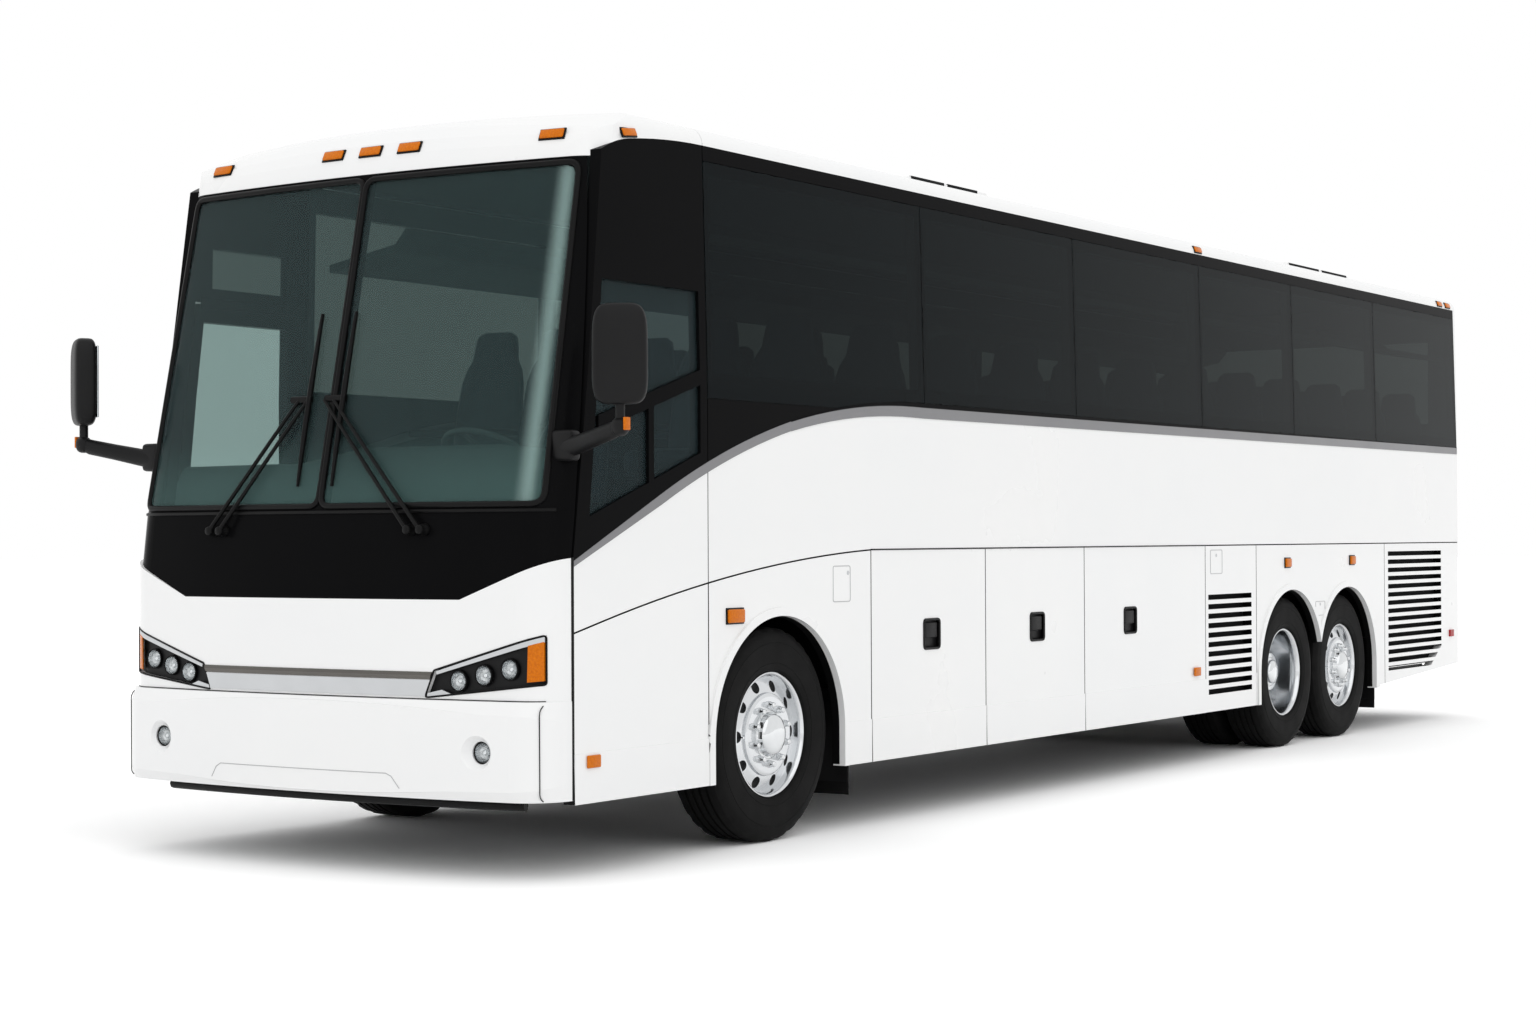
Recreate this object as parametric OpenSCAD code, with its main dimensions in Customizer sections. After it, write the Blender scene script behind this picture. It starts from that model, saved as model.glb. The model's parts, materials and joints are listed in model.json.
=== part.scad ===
// Three-axle touring coach, built from separately named panels, glass, axles, wheels and doors.
// X points forward, Y to the left, Z up; the origin lies on the road under the middle of the coach.
// All sizes are in millimetres.

/* [Body] */
// length over both bumpers
body_l = 12190; // [11000:10:13800]
// width over the side panels
body_w = 2590; // [2400:10:2600]
// thickness of every wall, door and roof panel
wall = 60; // [40:5:90]
// gap between neighbouring panels
gap = 8; // [5:1:15]
// lower edge of the side skirts
skirt_z = 327; // [250:1:420]
// top of the raised sill band along the skirts
sill_z = 546; // [480:1:620]
// how far the sill band stands out
sill_out = 5; // [0:1:12]
// upper edge of the skirts and luggage doors
seam_z = 1420; // [1300:5:1500]
// upper edge of the white side, where the windows start
waist_z = 2188; // [2000:1:2400]
// height of the roof at its middle
roof_z = 3415; // [3350:5:3600]
// rise of the roof over the black band along the windows
roof_rise = 102; // [95:1:160]
// height of the black band over the windows
band_h = 70; // [40:1:120]
// distance of the wall top from the middle plane
top_y = 1269; // [1200:1:1295]
// radius of the rounded roof edge
cove_r = 90; // [60:5:160]

/* [Front] */
// setback of the windscreen's foot behind the bumper's nose
nose_set = 103; // [60:1:200]
// height of the windscreen's foot
screen_z = 1601; // [1500:1:1700]
// backward lean of the windscreen in degrees
screen_lean = 12; // [5:0.5:20]
// rise of the roof over the windscreen frame
brow_rise = 240; // [235:1:300]
// radius of the roof's lower edge over the front side panels
edge_r = 4100; // [3000:50:8000]
// radius of that edge's corner at the windscreen
edge_corner_r = 600; // [400:10:800]
// radius of the roof's front edge
brow_r = 230; // [120:10:300]
// setback of the white front panel behind the bumper's nose
panel_set = 53; // [20:1:120]
// lower edge of the black mask under the windscreen
mask_z = 1215; // [1100:1:1300]
// height where the mask's edge meets the side seam
mask_side_z = 1395; // [1250:1:1500]
// half width of the mask's straight lower edge
mask_y = 835; // [600:5:1000]
// upper edge of the bumper
bumper_z = 778; // [700:1:785]
// radius of the bumper's upper edge
bumper_r = 56; // [20:2:70]
// lower edge of the bumper
bumper_low = 347; // [280:1:420]
// plan radius of the front
front_r = 8500; // [4000:100:16000]
// plan radius of the front corners
corner_r = 200; // [120:10:280]
// setback of the seam between the front and the sides, at its foot
cap_set = 310; // [250:1:400]
// backward lean of that seam above the mask in degrees
cap_lean = 7.7; // [0:0.1:15]

/* [Sides] */
// setback of the split between the front section and the body
split_set = 1338; // [1250:1:1400]
// thickness of the rear end, behind the side walls
tail_set = 50; // [40:1:80]
// how far behind the split the waist line starts to fall
sweep_set = 1977; // [1600:1:2300]
// radius of the falling waist line
sweep_r = 5700; // [4500:50:8000]
// angle at which the falling waist line becomes straight
sweep_a = 24.5; // [15:0.5:30]
// height of the grey stripe under the waist line
stripe_h = 45; // [20:1:80]
// radius of the skirt seam's fall towards the front
dip_r = 13100; // [9000:100:20000]
// how far behind the split the skirt seam starts to fall
dip_set = 2017; // [1600:1:2300]

/* [Wheels] */
// front overhang, from the bumper's nose to the front axle
front_set = 1955; // [1800:5:2100]
// rear overhang, from the drive axle to the tail
drive_set = 3655; // [3500:5:3900]
// distance between the drive axle and the trailing axle
tag_set = 1090; // [1065:5:1300]
// tyre radius
tyre_r = 522; // [480:1:560]
// tyre width
tyre_w = 290; // [260:2:320]
// radius of the rim's flange
rim_r = 304; // [280:1:330]
// distance of the wheel's middle from the middle plane
track_y = 1110; // [1050:5:1130]
// distance of the inner drive wheel from the middle plane
twin_y = 770; // [740:5:800]
// distance of the kingpin from the middle plane
king_y = 1010; // [960:5:1040]
// radius of the wheel arches
arch_r = 578; // [560:1:640]
// width of the raised lip round each arch
lip_w = 42; // [20:1:70]
// number of hand holes in each wheel disc
hand_holes = 10; // [6:1:12]

/* [Cabin] */
// top of the passenger floor
floor_z = 1475; // [1400:5:1550]
// top of the driver's platform
deck_z = 1050; // [900:10:1200]
// number of seat rows
seat_rows = 12; // [8:1:12]
// front of the first seat row, behind the split
seat_set = 627; // [500:1:900]
// space behind the last seat row
seat_tail = 395; // [300:5:600]
// depth of a seat
seat_d = 650; // [600:5:700]
// backward lean of the steering wheel in degrees
wheel_lean = 32; // [10:1:60]

/* [Hidden] */
$fa = 4;
$fs = 8;
half_l = body_l / 2;
hw = body_w / 2;
// a distance beyond the whole coach
far = 2 * body_l;
nose_x = half_l - nose_set;
panel_x = half_l - panel_set;
cap_x = half_l - cap_set;
split_x = half_l - split_set;
tail_x = -half_l + tail_set;
sweep_x = split_x - sweep_set;
dip_x = split_x - dip_set;
front_x = half_l - front_set;
drive_x = -half_l + drive_set;
tag_x = drive_x - tag_set;
band_z = roof_z - roof_rise;
glass_z = band_z - band_h;
brow_z = roof_z - brow_rise;
seat_x = split_x - seat_set;
seat_pitch = (seat_x - tail_x - seat_d - seat_tail) / (seat_rows - 1);
// top of the door and of the driver's window
head_z = band_z - 663;
// panel joints beside the wheels, and the rear edge of the last luggage bay
bay_front = front_x - 857;
bay_rear = drive_x + 1484;
arch_front = drive_x + 629;
arch_rear = tag_x - 792;
cove_y = top_y - cove_r;
sweep_c = waist_z - sweep_r;
corner_y = hw - corner_r;
corner_x = sqrt(pow(front_r - corner_r, 2) - corner_y * corner_y) - front_r;
wedge_k = corner_y / (corner_x + front_r);
cap_k = tan(cap_lean);
door_top = seam_z - gap;
mask_lean = atan((panel_x - nose_x) / (screen_z - mask_z));
// end of the curved part of the skirt seam, and the seam's slope there
dip_end = cap_x - 205;
dip_a = asin((dip_end - dip_x) / dip_r);
// centre line of the rounded brow, and the lean of its facets
brow_x = nose_x - tan(screen_lean) * (roof_z - brow_r - screen_z) - brow_r / cos(screen_lean);
brow_leans = [screen_lean, 25, 45, 67];
// radius of the bumper's lower edge, and the leans of the facets round both edges
foot_r = 0.7 * bumper_r;
bumper_leans = [20, 45, 70];
inner_y = hw - wall;
// riser in front of the passenger floor, and the rear end of the entrance steps
riser_x = split_x - 27;
step_x = split_x + 93;
// window posts from front to back
posts = [split_x, 2720, 909, -927, -2520, -4161, tail_x];
// luggage doors: rear edge, front edge, handle
bays = [[2050, bay_front, 2656], [819, 2050, 1431], [bay_rear, 819, 188]];
// louvred panels: rear edge, front edge, lower edge, upper edge, number of slots, size of the cut corner
louvres = [[drive_x + 714, drive_x + 1438, 426, 1107, 11, 0], [tail_x + 409, tag_x - 872, 428, 1367, 15, 700]];
// side lamps: x, z, width, height
side_lamps = [[front_x + 399, 1110, 150, 76], [drive_x + 72, 1288, 90, 56], [tag_x - 97, 1294, 90, 56]];
// headlamp lenses: y, z
lenses = [[822, 861], [952, 888], [1083, 916]];
// fog lamps: y, z, and their radius
fog = [968, 556];
fog_r = 50;
// front roof lamps: y
brow_lamps = [-1016, -234, 0, 234, 1016];
// roof lamps over the sides: x, height over the band
edge_lamps = [[half_l - 753, -15], [-927, 29], [tail_x + 325, 29], [tail_x + 130, 29]];
// hinge pins in the gaps over the doors: radius, and how far the axis lies outside the skin
pin_r = gap / 2 - 0.6;
pin_out = 1;
// roof vents: rear edge, front edge
vents = [[1350, 2550], [-4500, -2900]];

// a flat Y-Z outline drawn out along X
module along_x(x0, x1) {
  translate([x0, 0, 0]) rotate([90, 0, 90]) linear_extrude(x1 - x0) children();
}

// a flat Y-Z outline drawn out over the length of the front section
module ahead() {
  along_x(split_x - 300, far) children();
}

// a flat X-Z outline drawn out along Y
module along_y(y0, y1) {
  translate([0, y1, 0]) rotate([90, 0, 0]) linear_extrude(y1 - y0) children();
}

module both() {
  children();
  mirror([0, 1, 0]) children();
}

// a flat rectangle from one corner to the other
module area(a, b) {
  translate(a) square(b - a);
}

module block(a, b) {
  translate(a) cube(b - a);
}

// cross-section of the body, moved inward by o
module section(o = 0) {
  polygon([[-hw + o, 100], [hw - o, 100], [hw - o, waist_z], [top_y - o, band_z], [cove_y, band_z],
           [cove_y, band_z + cove_r - o], [500, roof_z - o], [-500, roof_z - o], [-cove_y, band_z + cove_r - o],
           [-cove_y, band_z], [-top_y + o, band_z], [-hw + o, waist_z]]);
  for (s = [-1, 1]) translate([s * cove_y, band_z]) circle(r = cove_r - o);
}

module hull_ring(x0, x1, o0, o1) {
  along_x(x0, x1) difference() {
    section(o0);
    section(o1);
  }
}

// plan of the front with its nose at x = 0, moved inward by o
module plan(o = 0) {
  intersection() {
    translate([-front_r, 0]) circle(r = front_r - o, $fn = 1440);
    union() {
      area([-1500, -hw + o], [corner_x, hw - o]);
      polygon([[corner_x - 40, -corner_y], [corner_x, -corner_y], [60, -corner_y - wedge_k * (60 - corner_x)],
               [60, corner_y + wedge_k * (60 - corner_x)], [corner_x, corner_y], [corner_x - 40, corner_y]]);
      for (s = [-1, 1]) translate([corner_x, s * corner_y]) circle(r = corner_r - o);
    }
  }
}

// the space behind the front face, leaning back from the point (x, z)
module behind_face(x, z, lean, o) {
  translate([x, 0, z]) rotate([0, -lean, 0]) translate([0, 0, -2600]) linear_extrude(5200) plan(o);
}

module face_shell(x, z, lean, o0, o1) {
  difference() {
    behind_face(x, z, lean, o0);
    behind_face(x, z, lean, o1);
  }
}

// where the seam of the front cap lies at height z, above the mask
function seam_x(z) = cap_x - cap_k * (z - mask_side_z);

// the roof's lower edge over the front side panels: a slow fall from the split, then a rounded corner
edge_x = half_l - 765;
edge_a = asin((edge_x - split_x) / edge_r);
edge_c = [split_x + (edge_r - edge_corner_r) * sin(edge_a), band_z - edge_r + (edge_r - edge_corner_r) * cos(edge_a)];
edge_end = seam_x(brow_z + 24);
edge_steps = [for (i = [0 : 14]) split_x + (edge_end - split_x) * (i < 6 ? i / 8 : 0.75 + (i - 6) / 32)];
function edge_z(x) = x < edge_x ? band_z - edge_r + sqrt(edge_r * edge_r - pow(x - split_x, 2))
                                : edge_c[1] + sqrt(pow(edge_corner_r, 2) - pow(x - edge_c[0], 2));

// elevation behind the seam of the front cap
module behind_cap(d = 0) {
  polygon([[-far, 0], [cap_x - d, 0], [cap_x - d, mask_side_z], [seam_x(roof_z + 200) - d, roof_z + 200],
           [-far, roof_z + 200]]);
}

// elevation below the waist line, moved down by d
module below_waist(d = 0, tip = 0) {
  area([-far, 0], [sweep_x, waist_z - d]);
  intersection() {
    translate([sweep_x, sweep_c]) circle(r = sweep_r - d, $fn = 1440);
    area([sweep_x - 1, 0], [sweep_x + (sweep_r - d) * sin(sweep_a), 3000]);
  }
  sx = sweep_x + (sweep_r - d) * sin(sweep_a);
  sz = sweep_c + (sweep_r - d) * cos(sweep_a);
  polygon([[sx - 60, 0], [sx - 60, sz], [sx, sz], [sx + 1200 * cos(sweep_a), sz - 1200 * sin(sweep_a) + tip],
           [sx + 1200 * cos(sweep_a), 0]]);
}

// elevation below the skirt seam
module below_seam(d = 0) {
  area([-far, 0], [bays[0][1], seam_z - d]);
  intersection() {
    translate([dip_x, seam_z + 10 - dip_r]) circle(r = dip_r - d, $fn = 1440);
    area([bays[0][1] - 1, 0], [dip_end, 2000]);
  }
  dx = (dip_r - d) * sin(dip_a);
  dz = seam_z + 10 - dip_r + (dip_r - d) * cos(dip_a);
  polygon([[dip_x + dx - 60, 0], [dip_x + dx - 60, dz], [dip_x + dx, dz], [half_l, dz - tan(dip_a) * (half_l - dip_x - dx)],
           [half_l, 0]]);
}

// elevation of the wheel openings
module arches(d = 0) {
  for (x = [front_x, drive_x, tag_x]) {
    translate([x, tyre_r]) circle(r = arch_r + d);
    area([x - arch_r - d, 0], [x + arch_r + d, tyre_r]);
  }
}

// elevation of the rear overhang that is cut away under the skirt
module tail_rise() {
  polygon([[tag_x - 683, 0], [tag_x - 683, 345], [tail_x - 255, 449], [tail_x - 255, 0]]);
}

// elevation of the entrance doorway, widened by d
module doorway(d = 0) {
  polygon([[split_x + 43 - d, skirt_z + 3 - d], [cap_x - 80 + d, skirt_z + 3 - d], [cap_x - 80 + d, mask_side_z],
           [cap_x - 240 + d, head_z + d], [split_x + 43 - d, head_z + d]]);
}

// elevation of the driver's window
module driver_opening() {
  polygon([[split_x + 58, 1875], [split_x + 58, head_z - 25], [cap_x - 225, head_z - 25], [cap_x - 117, 1575]]);
}

module driver_bars() {
  polygon([[split_x + 58, 2190], [split_x + 58, 2260], [cap_x - 185, 2020], [cap_x - 185, 1950]]);
  area([split_x + 428, 1700], [split_x + 468, 2110]);
}

// elevation of side window pane i, reduced by d
module pane(i, d) {
  difference() {
    area([posts[i + 1] + d, (i == 0 ? 2128 : waist_z) + d], [posts[i] - d, glass_z - d]);
    below_waist(-d);
  }
}

// elevation of the daylight opening behind pane i
module daylight(i) {
  difference() {
    area([posts[i + 1] + 50, 2250], [posts[i] - 50, glass_z - 60]);
    below_waist(-70);
  }
}

module floor() {
  color("dimgray") {
    block([tail_x, -inner_y, floor_z - 50], [riser_x + 40, inner_y, floor_z]);
    block([riser_x, -inner_y, deck_z], [riser_x + 40, inner_y, floor_z - 50]);
    block([riser_x, -480, deck_z - 50], [cap_x - 85, inner_y, deck_z]);
    for (i = [0 : 2]) block([step_x, -1180 + 240 * i, 400 + 220 * i], [cap_x - 145, -480, 440 + 220 * i]);
    block([step_x, -500, 360], [cap_x - 145, -460, deck_z - 50]);
    for (i = [0 : 2]) block([step_x, -1180 + 240 * i, 360], [cap_x - 145, -1160 + 240 * i, 440 + 220 * i]);
  }
}

// a block on the left and its mirror image on the right
module pair(a, b) {
  both() block(a, b);
}

module underbody() {
  top = floor_z - 50;
  color("darkslategray") {
    block([arch_front, -inner_y + 10, 345], [bay_front, inner_y - 10, 385]);
    for (x = [bay_front - 40, bays[1][1] - 20, bays[1][0] - 20, bay_rear - 20, arch_front])
      block([x, -inner_y + 10, 385], [x + 40, inner_y - 10, top]);
    pair([bay_front, 540, 345], [bay_front + 40, inner_y, top]);
    block([riser_x, 540, 345], [riser_x + 40, inner_y, deck_z - 50]);
    block([riser_x, -inner_y, 345], [riser_x + 40, -540, deck_z]);
    both() along_y(540, 560) difference() {
      union() {
        area([bay_front + 40, 400], [riser_x, deck_z - 50]);
        area([bay_front + 40, 400], [riser_x - 40, top]);
        area([arch_rear + 20, 400], [arch_front - 40, top]);
      }
      for (x = [front_x, drive_x, tag_x]) area([x - 130, 0], [x + 130, 720]);
    }
    pair([arch_front - 40, 540, 345], [arch_front, inner_y, top]);
    pair([arch_rear - 40, 540, 345], [arch_rear + 20, inner_y, top]);
    pair([tail_x, 460, 400], [arch_rear - 40, 560, 460]);
    pair([arch_front + 40, inner_y - 20, 385], [bay_rear - 20, inner_y, 1400]);
    pair([tail_x, inner_y - 20, 460], [arch_rear - 40, inner_y, top]);
    for (x = [front_x, drive_x, tag_x]) pair([x - 150, 300, 900], [x + 150, 540, top]);
  }
}

module roof() {
  color("white") intersection() {
    hull_ring(tail_x, split_x - 4, 0, wall);
    block([-far, -2 * hw, band_z], [far, 2 * hw, far]);
  }
}

// the white front of the roof, with its rounded edge over the windscreen
module cap_zone(d = 0) {
  polygon(concat([for (x = edge_steps) [x + (x == split_x ? d : 0), edge_z(x)]],
                 [[seam_x(brow_z + d), brow_z + d], [far, brow_z + d], [far, far], [split_x + d, far]]));
}

// the space under the roof and behind every facet of the rounded brow
module cap_body() {
  intersection() {
    along_x(split_x - 700, far) section();
    behind_face(nose_x, screen_z, screen_lean, 0);
    brow_face(1, 0);
    brow_face(2, 0);
    brow_face(3, 0);
  }
}

module brow_face(i, o) {
  a = brow_leans[i];
  translate([brow_x + brow_r * cos(a), 0, roof_z - brow_r + brow_r * sin(a)]) rotate([0, -a, 0])
    translate([-front_r, 0, -2600]) cylinder(r = front_r - o, h = 5200, $fn = 1440);
}

// elevation of the hollow under the front of the roof
module cap_hollow() {
  r = brow_r - wall - sag(1150);
  c = [brow_x, roof_z - brow_r];
  top = roof_z - wall;
  polygon([[split_x - 700, brow_z - 175], [split_x - 700, top], [c[0] + c[1] + 1.414 * r - top, top], c + r * [0.707, 0.707],
           c + r * [1.02, 0], c + [1.02 * r + 40, -185]]);
}

module front_cap() {
  color("white") difference() {
    intersection() {
      cap_body();
      along_y(-1400, 1400) cap_zone(0);
    }
    along_y(-1150, 1150) cap_hollow();
  }
}

// front elevation of one windscreen pane
module screen_pane() {
  low = screen_z + 35;
  high = brow_z - 35;
  polygon([[20, low], [hw - 150, low], [hw - 108, low + 18], [hw - 92, low + 60], [hw - 126, high - 60], [hw - 143, high - 18],
           [hw - 185, high], [20, high]]);
}

module windscreen_glass() {
  color("lightblue") both() intersection() {
    face_shell(nose_x, screen_z, screen_lean, 4, 13);
    ahead() screen_pane();
  }
}

module windscreen_frame() {
  color("black") difference() {
    intersection() {
      face_shell(nose_x, screen_z, screen_lean, 0, 50);
      ahead() section(0);
      block([split_x, -far, screen_z], [far, far, roof_z]);
    }
    along_y(-1400, 1400) cap_zone(-2);
    along_y(-1400, 1400) behind_cap(-8);
    both() ahead() screen_pane();
  }
}

// front elevation of the mask
module mask_zone(d = 0) {
  polygon([[-1400, screen_z], [1400, screen_z], [1400, mask_side_z + 42 + d], [mask_y, mask_z + d],
           [-mask_y, mask_z + d], [-1400, mask_side_z + 42 + d]]);
}

module front_mask() {
  color("black") difference() {
    intersection() {
      face_shell(nose_x, screen_z, mask_lean, 0, wall);
      ahead() mask_zone();
    }
    along_y(-1400, 1400) behind_cap(-8);
  }
}

// front elevation of one headlamp
module lamp_zone(d = 0) {
  polygon([[652 - d, 786 - d], [702 - d, 906 + d], [1242 + d, 1065 + d], [1242 + d, 852 - d]]);
}

// the space inside the bumper's rounded outer form
module bumper_form() {
  intersection() {
    behind_face(half_l, 500, 0, 0);
    for (t = bumper_leans)
      behind_face(half_l - bumper_r * (1 - cos(t)), bumper_z - bumper_r * (1 - sin(t)), t, 0);
    for (t = bumper_leans)
      behind_face(half_l - foot_r * (1 - cos(t)), bumper_low + foot_r * (1 - sin(t)), -t, 0);
  }
}

module front_panel() {
  color("white") difference() {
    intersection() {
      face_shell(panel_x, 900, 0, 0, wall);
      ahead() difference() {
        area([-1400, bumper_z], [1400, 2000]);
        mask_zone(0);
        translate([-1400, screen_z - 1]) square([2800, 800]);
        for (s = [0, 1]) mirror([s, 0]) lamp_zone();
      }
    }
    along_y(-1400, 1400) behind_cap(-8);
  }
}

module front_bumper() {
  color("white") difference() {
    intersection() {
      bumper_form();
      ahead() area([-1400, bumper_low], [1400, bumper_z]);
    }
    behind_face(half_l, 500, 0, 75);
    along_y(-1400, 1400) behind_cap(-8);
    for (s = [-1, 1]) translate([half_l, s * fog[0], fog[1]]) rotate([0, 90, 0]) {
      translate([0, 0, -145]) cylinder(r = fog_r, h = 300);
      translate([0, 0, -sag(fog[0]) - 25]) cylinder(r1 = fog_r, r2 = fog_r + 40, h = 40);
    }
  }
}

module bright_bar() {
  color("silver") intersection() {
    face_shell(panel_x, 900, 0, -10, 0);
    ahead() area([-650, 790], [650, 902]);
  }
}

module headlamp_housings() {
  color("black") both() difference() {
    intersection() {
      face_shell(panel_x, 900, 0, 24, wall);
      ahead() lamp_zone();
    }
    along_y(-1400, 1400) behind_cap(-8);
    for (q = lenses) translate([panel_x - 242, q[0], q[1]]) rotate([0, 90, 0]) cylinder(r = 46, h = 400);
  }
}

// how far the front lies back at a distance y from the middle
function sag(y) = front_r - sqrt(front_r * front_r - y * y);

module lamp_lenses() {
  color("gainsboro") both() {
    for (q = lenses) translate([panel_x - sag(q[0]) - 64, q[0], q[1]]) rotate([0, 90, 0]) cylinder(r = 46, h = 50);
    translate([half_l - sag(fog[0]) - 70, fog[0], fog[1]]) rotate([0, 90, 0]) cylinder(r = fog_r, h = 40);
  }
}

module upper_walls() {
  color("black") both() difference() {
    intersection() {
      hull_ring(tail_x, split_x - 3, 0, wall);
      along_y(700, 1500) difference() {
        area([tail_x, 1000], [split_x, band_z]);
        below_waist(0);
      }
    }
    intersection() {
      hull_ring(tail_x - 10, split_x + 10, -10, 8);
      along_y(700, 1500) for (i = [0 : 5]) pane(i, 1);
    }
    along_y(700, 1500) for (i = [0 : 5]) daylight(i);
  }
}

// the black wall beside the driver, between the split and the windscreen
module cab_wall() {
  difference() {
    intersection() {
      hull_ring(split_x + 3, half_l, 0, wall);
      along_y(700, 1500) difference() {
        behind_cap();
        below_waist(0);
        cap_zone();
      }
    }
    children();
  }
}

// the small window over the entrance door
module transom() {
  area([split_x + 143, head_z + 80], [cap_x - 345, head_z + 280]);
}

module cab_walls() {
  color("black") {
    cab_wall() along_y(700, 1500) difference() {
      driver_opening();
      driver_bars();
    }
    mirror([0, 1, 0]) cab_wall() {
      along_y(700, 1500) doorway(gap);
      along_y(700, 1500) transom();
    }
  }
}

module side_glass() {
  color("lightslategray") {
    both() for (i = [0 : 5]) intersection() {
      hull_ring(tail_x, half_l, 0, 8);
      along_y(700, 1500) pane(i, 4);
    }
    intersection() {
      hull_ring(split_x - 700, half_l, 16, 24);
      along_y(700, 1500) difference() {
        driver_opening();
        driver_bars();
      }
    }
    intersection() {
      hull_ring(split_x - 700, half_l, 16, 24);
      mirror([0, 1, 0]) along_y(700, 1500) transom();
    }
  }
}

module side_elevation() {
  difference() {
    intersection() {
      behind_cap();
      below_waist(stripe_h, 40);
      area([tail_x, 300], [half_l, waist_z + 200]);
    }
    below_seam();
    area([split_x - 3, 0], [split_x + 3, 3000]);
  }
}

module side_panels() {
  color("white") {
    along_y(inner_y, hw) side_elevation();
    mirror([0, 1, 0]) along_y(inner_y, hw) difference() {
      side_elevation();
      doorway(gap);
    }
  }
}

module stripe_elevation() {
  difference() {
    intersection() {
      below_waist(0);
      behind_cap();
      area([tail_x, 300], [half_l, waist_z + 200]);
    }
    below_waist(stripe_h, 40);
  }
}

module stripes() {
  color("gray") {
    along_y(inner_y, hw + 3) stripe_elevation();
    mirror([0, 1, 0]) along_y(inner_y, hw + 3) difference() {
      stripe_elevation();
      doorway(gap);
    }
  }
}

// skirt pieces between the given ends
module skirt_elevation() {
  difference() {
    intersection() {
      below_seam(gap);
      behind_cap();
      area([tail_x, skirt_z], [half_l, 2000]);
    }
    arches();
    tail_rise();
    for (x = [split_x, bay_rear, arch_front, arch_rear]) area([x - 4, 0], [x + 4, 2000]);
    area([bays[2][0] - 4, 0], [bays[0][1] + 4, 2000]);
    for (q = louvres) for (i = [0 : q[4] - 1]) {
      step = (q[3] - q[2]) / q[4];
      difference() {
        area([q[0], q[2] + step * (i + 0.22)], [q[1], q[2] + step * (i + 0.78)]);
        if (q[5] > 0) translate([q[0], 300]) rotate(-30) square([q[5], 500], center = true);
      }
    }
  }
}

module sill_elevation() {
  difference() {
    intersection() {
      skirt_elevation();
      area([arch_front, skirt_z], [half_l, sill_z]);
    }
    area([arch_front + 11, 0], [bay_rear, 2000]);
  }
}

module lip_elevation() {
  difference() {
    intersection() {
      arches(lip_w);
      area([-far, skirt_z], [far, 2000]);
    }
    arches(0);
  }
}

module skirt_panels() {
  color("white") {
    union() {
      along_y(inner_y, hw) skirt_elevation();
      along_y(hw - 20, hw + sill_out) sill_elevation();
      along_y(hw - 20, hw + 12) lip_elevation();
    }
    mirror([0, 1, 0]) union() {
      along_y(inner_y, hw) difference() {
        skirt_elevation();
        doorway(gap);
      }
      along_y(hw - 20, hw + sill_out) difference() {
        sill_elevation();
        doorway(gap);
      }
      along_y(hw - 20, hw + 12) lip_elevation();
    }
  }
}

// rear elevation of the engine door
module engine_opening(d = 0) {
  area([-880 - d, 660 - d], [880 + d, 1400 + d]);
}

module rear_wall() {
  color("white") difference() {
    intersection() {
      along_x(-half_l, tail_x) section(0);
      block([-half_l, -2 * hw, 648], [tail_x, 2 * hw, far]);
      union() {
        block([-half_l, -hw + tail_set, 0], [tail_x, hw - tail_set, far]);
        for (s = [-1, 1]) translate([tail_x, s * (hw - tail_set), 0]) cylinder(r = tail_set, h = far);
      }
    }
    along_x(-far, 0) area([-880 - gap, 600], [880 + gap, 1400 + gap]);
    along_x(-far, -half_l + 10) area([-1120, waist_z + 142], [1120, glass_z - 123]);
    along_x(-far, 0) area([-1060, waist_z + 202], [1060, glass_z - 183]);
    for (s = [-1, 1]) along_x(-far, -half_l + 15) translate([s * 1090, 0]) area([-90, 700], [90, 1380]);
  }
}

module rear_glass() {
  color("lightslategray") along_x(-half_l + 2, -half_l + 10) area([-1117, waist_z + 145], [1117, glass_z - 126]);
}

module rear_bumper() {
  color("white") difference() {
    block([-half_l, -1240, 455], [-half_l + 50, 1240, 648]);
    block([-half_l - 1, -260, 500], [-half_l + 12, 260, 620]);
  }
}

// tail lamps: height from, height to
module tail_lamps() {
  color("red") both() for (q = [[706, 920], [926, 1140], [1146, 1374]])
    block([-half_l + 4, 1006, q[0]], [-half_l + 15, 1174, q[1]]);
  color("red") both() block([tail_x + 140, hw, 655], [tail_x + 224, hw + 14, 709]);
}

module mirrors() {
  color("black") both() {
    translate([nose_x - 90, 1635, 2075]) rotate([0, 0, 35]) {
      intersection() {
        translate([-55, -122, 0]) cube([110, 244, 430]);
        translate([-300, 0, 215]) rotate([0, 90, 0]) linear_extrude(600) union() {
          square([430, 144], center = true);
          square([330, 244], center = true);
          for (a = [-165, 165], b = [-72, 72]) translate([a, b]) circle(r = 50);
        }
      }
      translate([0, 0, -70]) cylinder(r = 26, h = 75);
      translate([0, 0, -85]) sphere(r = 38);
    }
    translate([nose_x - 90, 1635, 1985]) rotate([15.7, 0, -18.2]) translate([-24, -350, -24]) cube([48, 350, 48]);
    difference() {
      block([cap_x - 40, 1080, 1810], [cap_x + 50, 1335, 1955]);
      behind_face(nose_x, screen_z, screen_lean, 0);
    }
  }
}

// a bar over the windscreen from (y0, z0) to (y1, z1), its width and the heights of its faces over the glass
module wiper_bar(y0, z0, y1, z1, w, u0, u1) {
  k = cos(screen_lean);
  dz = (z1 - z0) / k;
  translate([nose_x, 0, screen_z]) rotate([0, -screen_lean, 0]) translate([0, y0, (z0 - screen_z) / k])
    rotate([-atan2(y1 - y0, dz), 0, 0]) translate([u0, -w / 2, 0]) cube([u1 - u0, w, norm([y1 - y0, dz])]);
}

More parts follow.
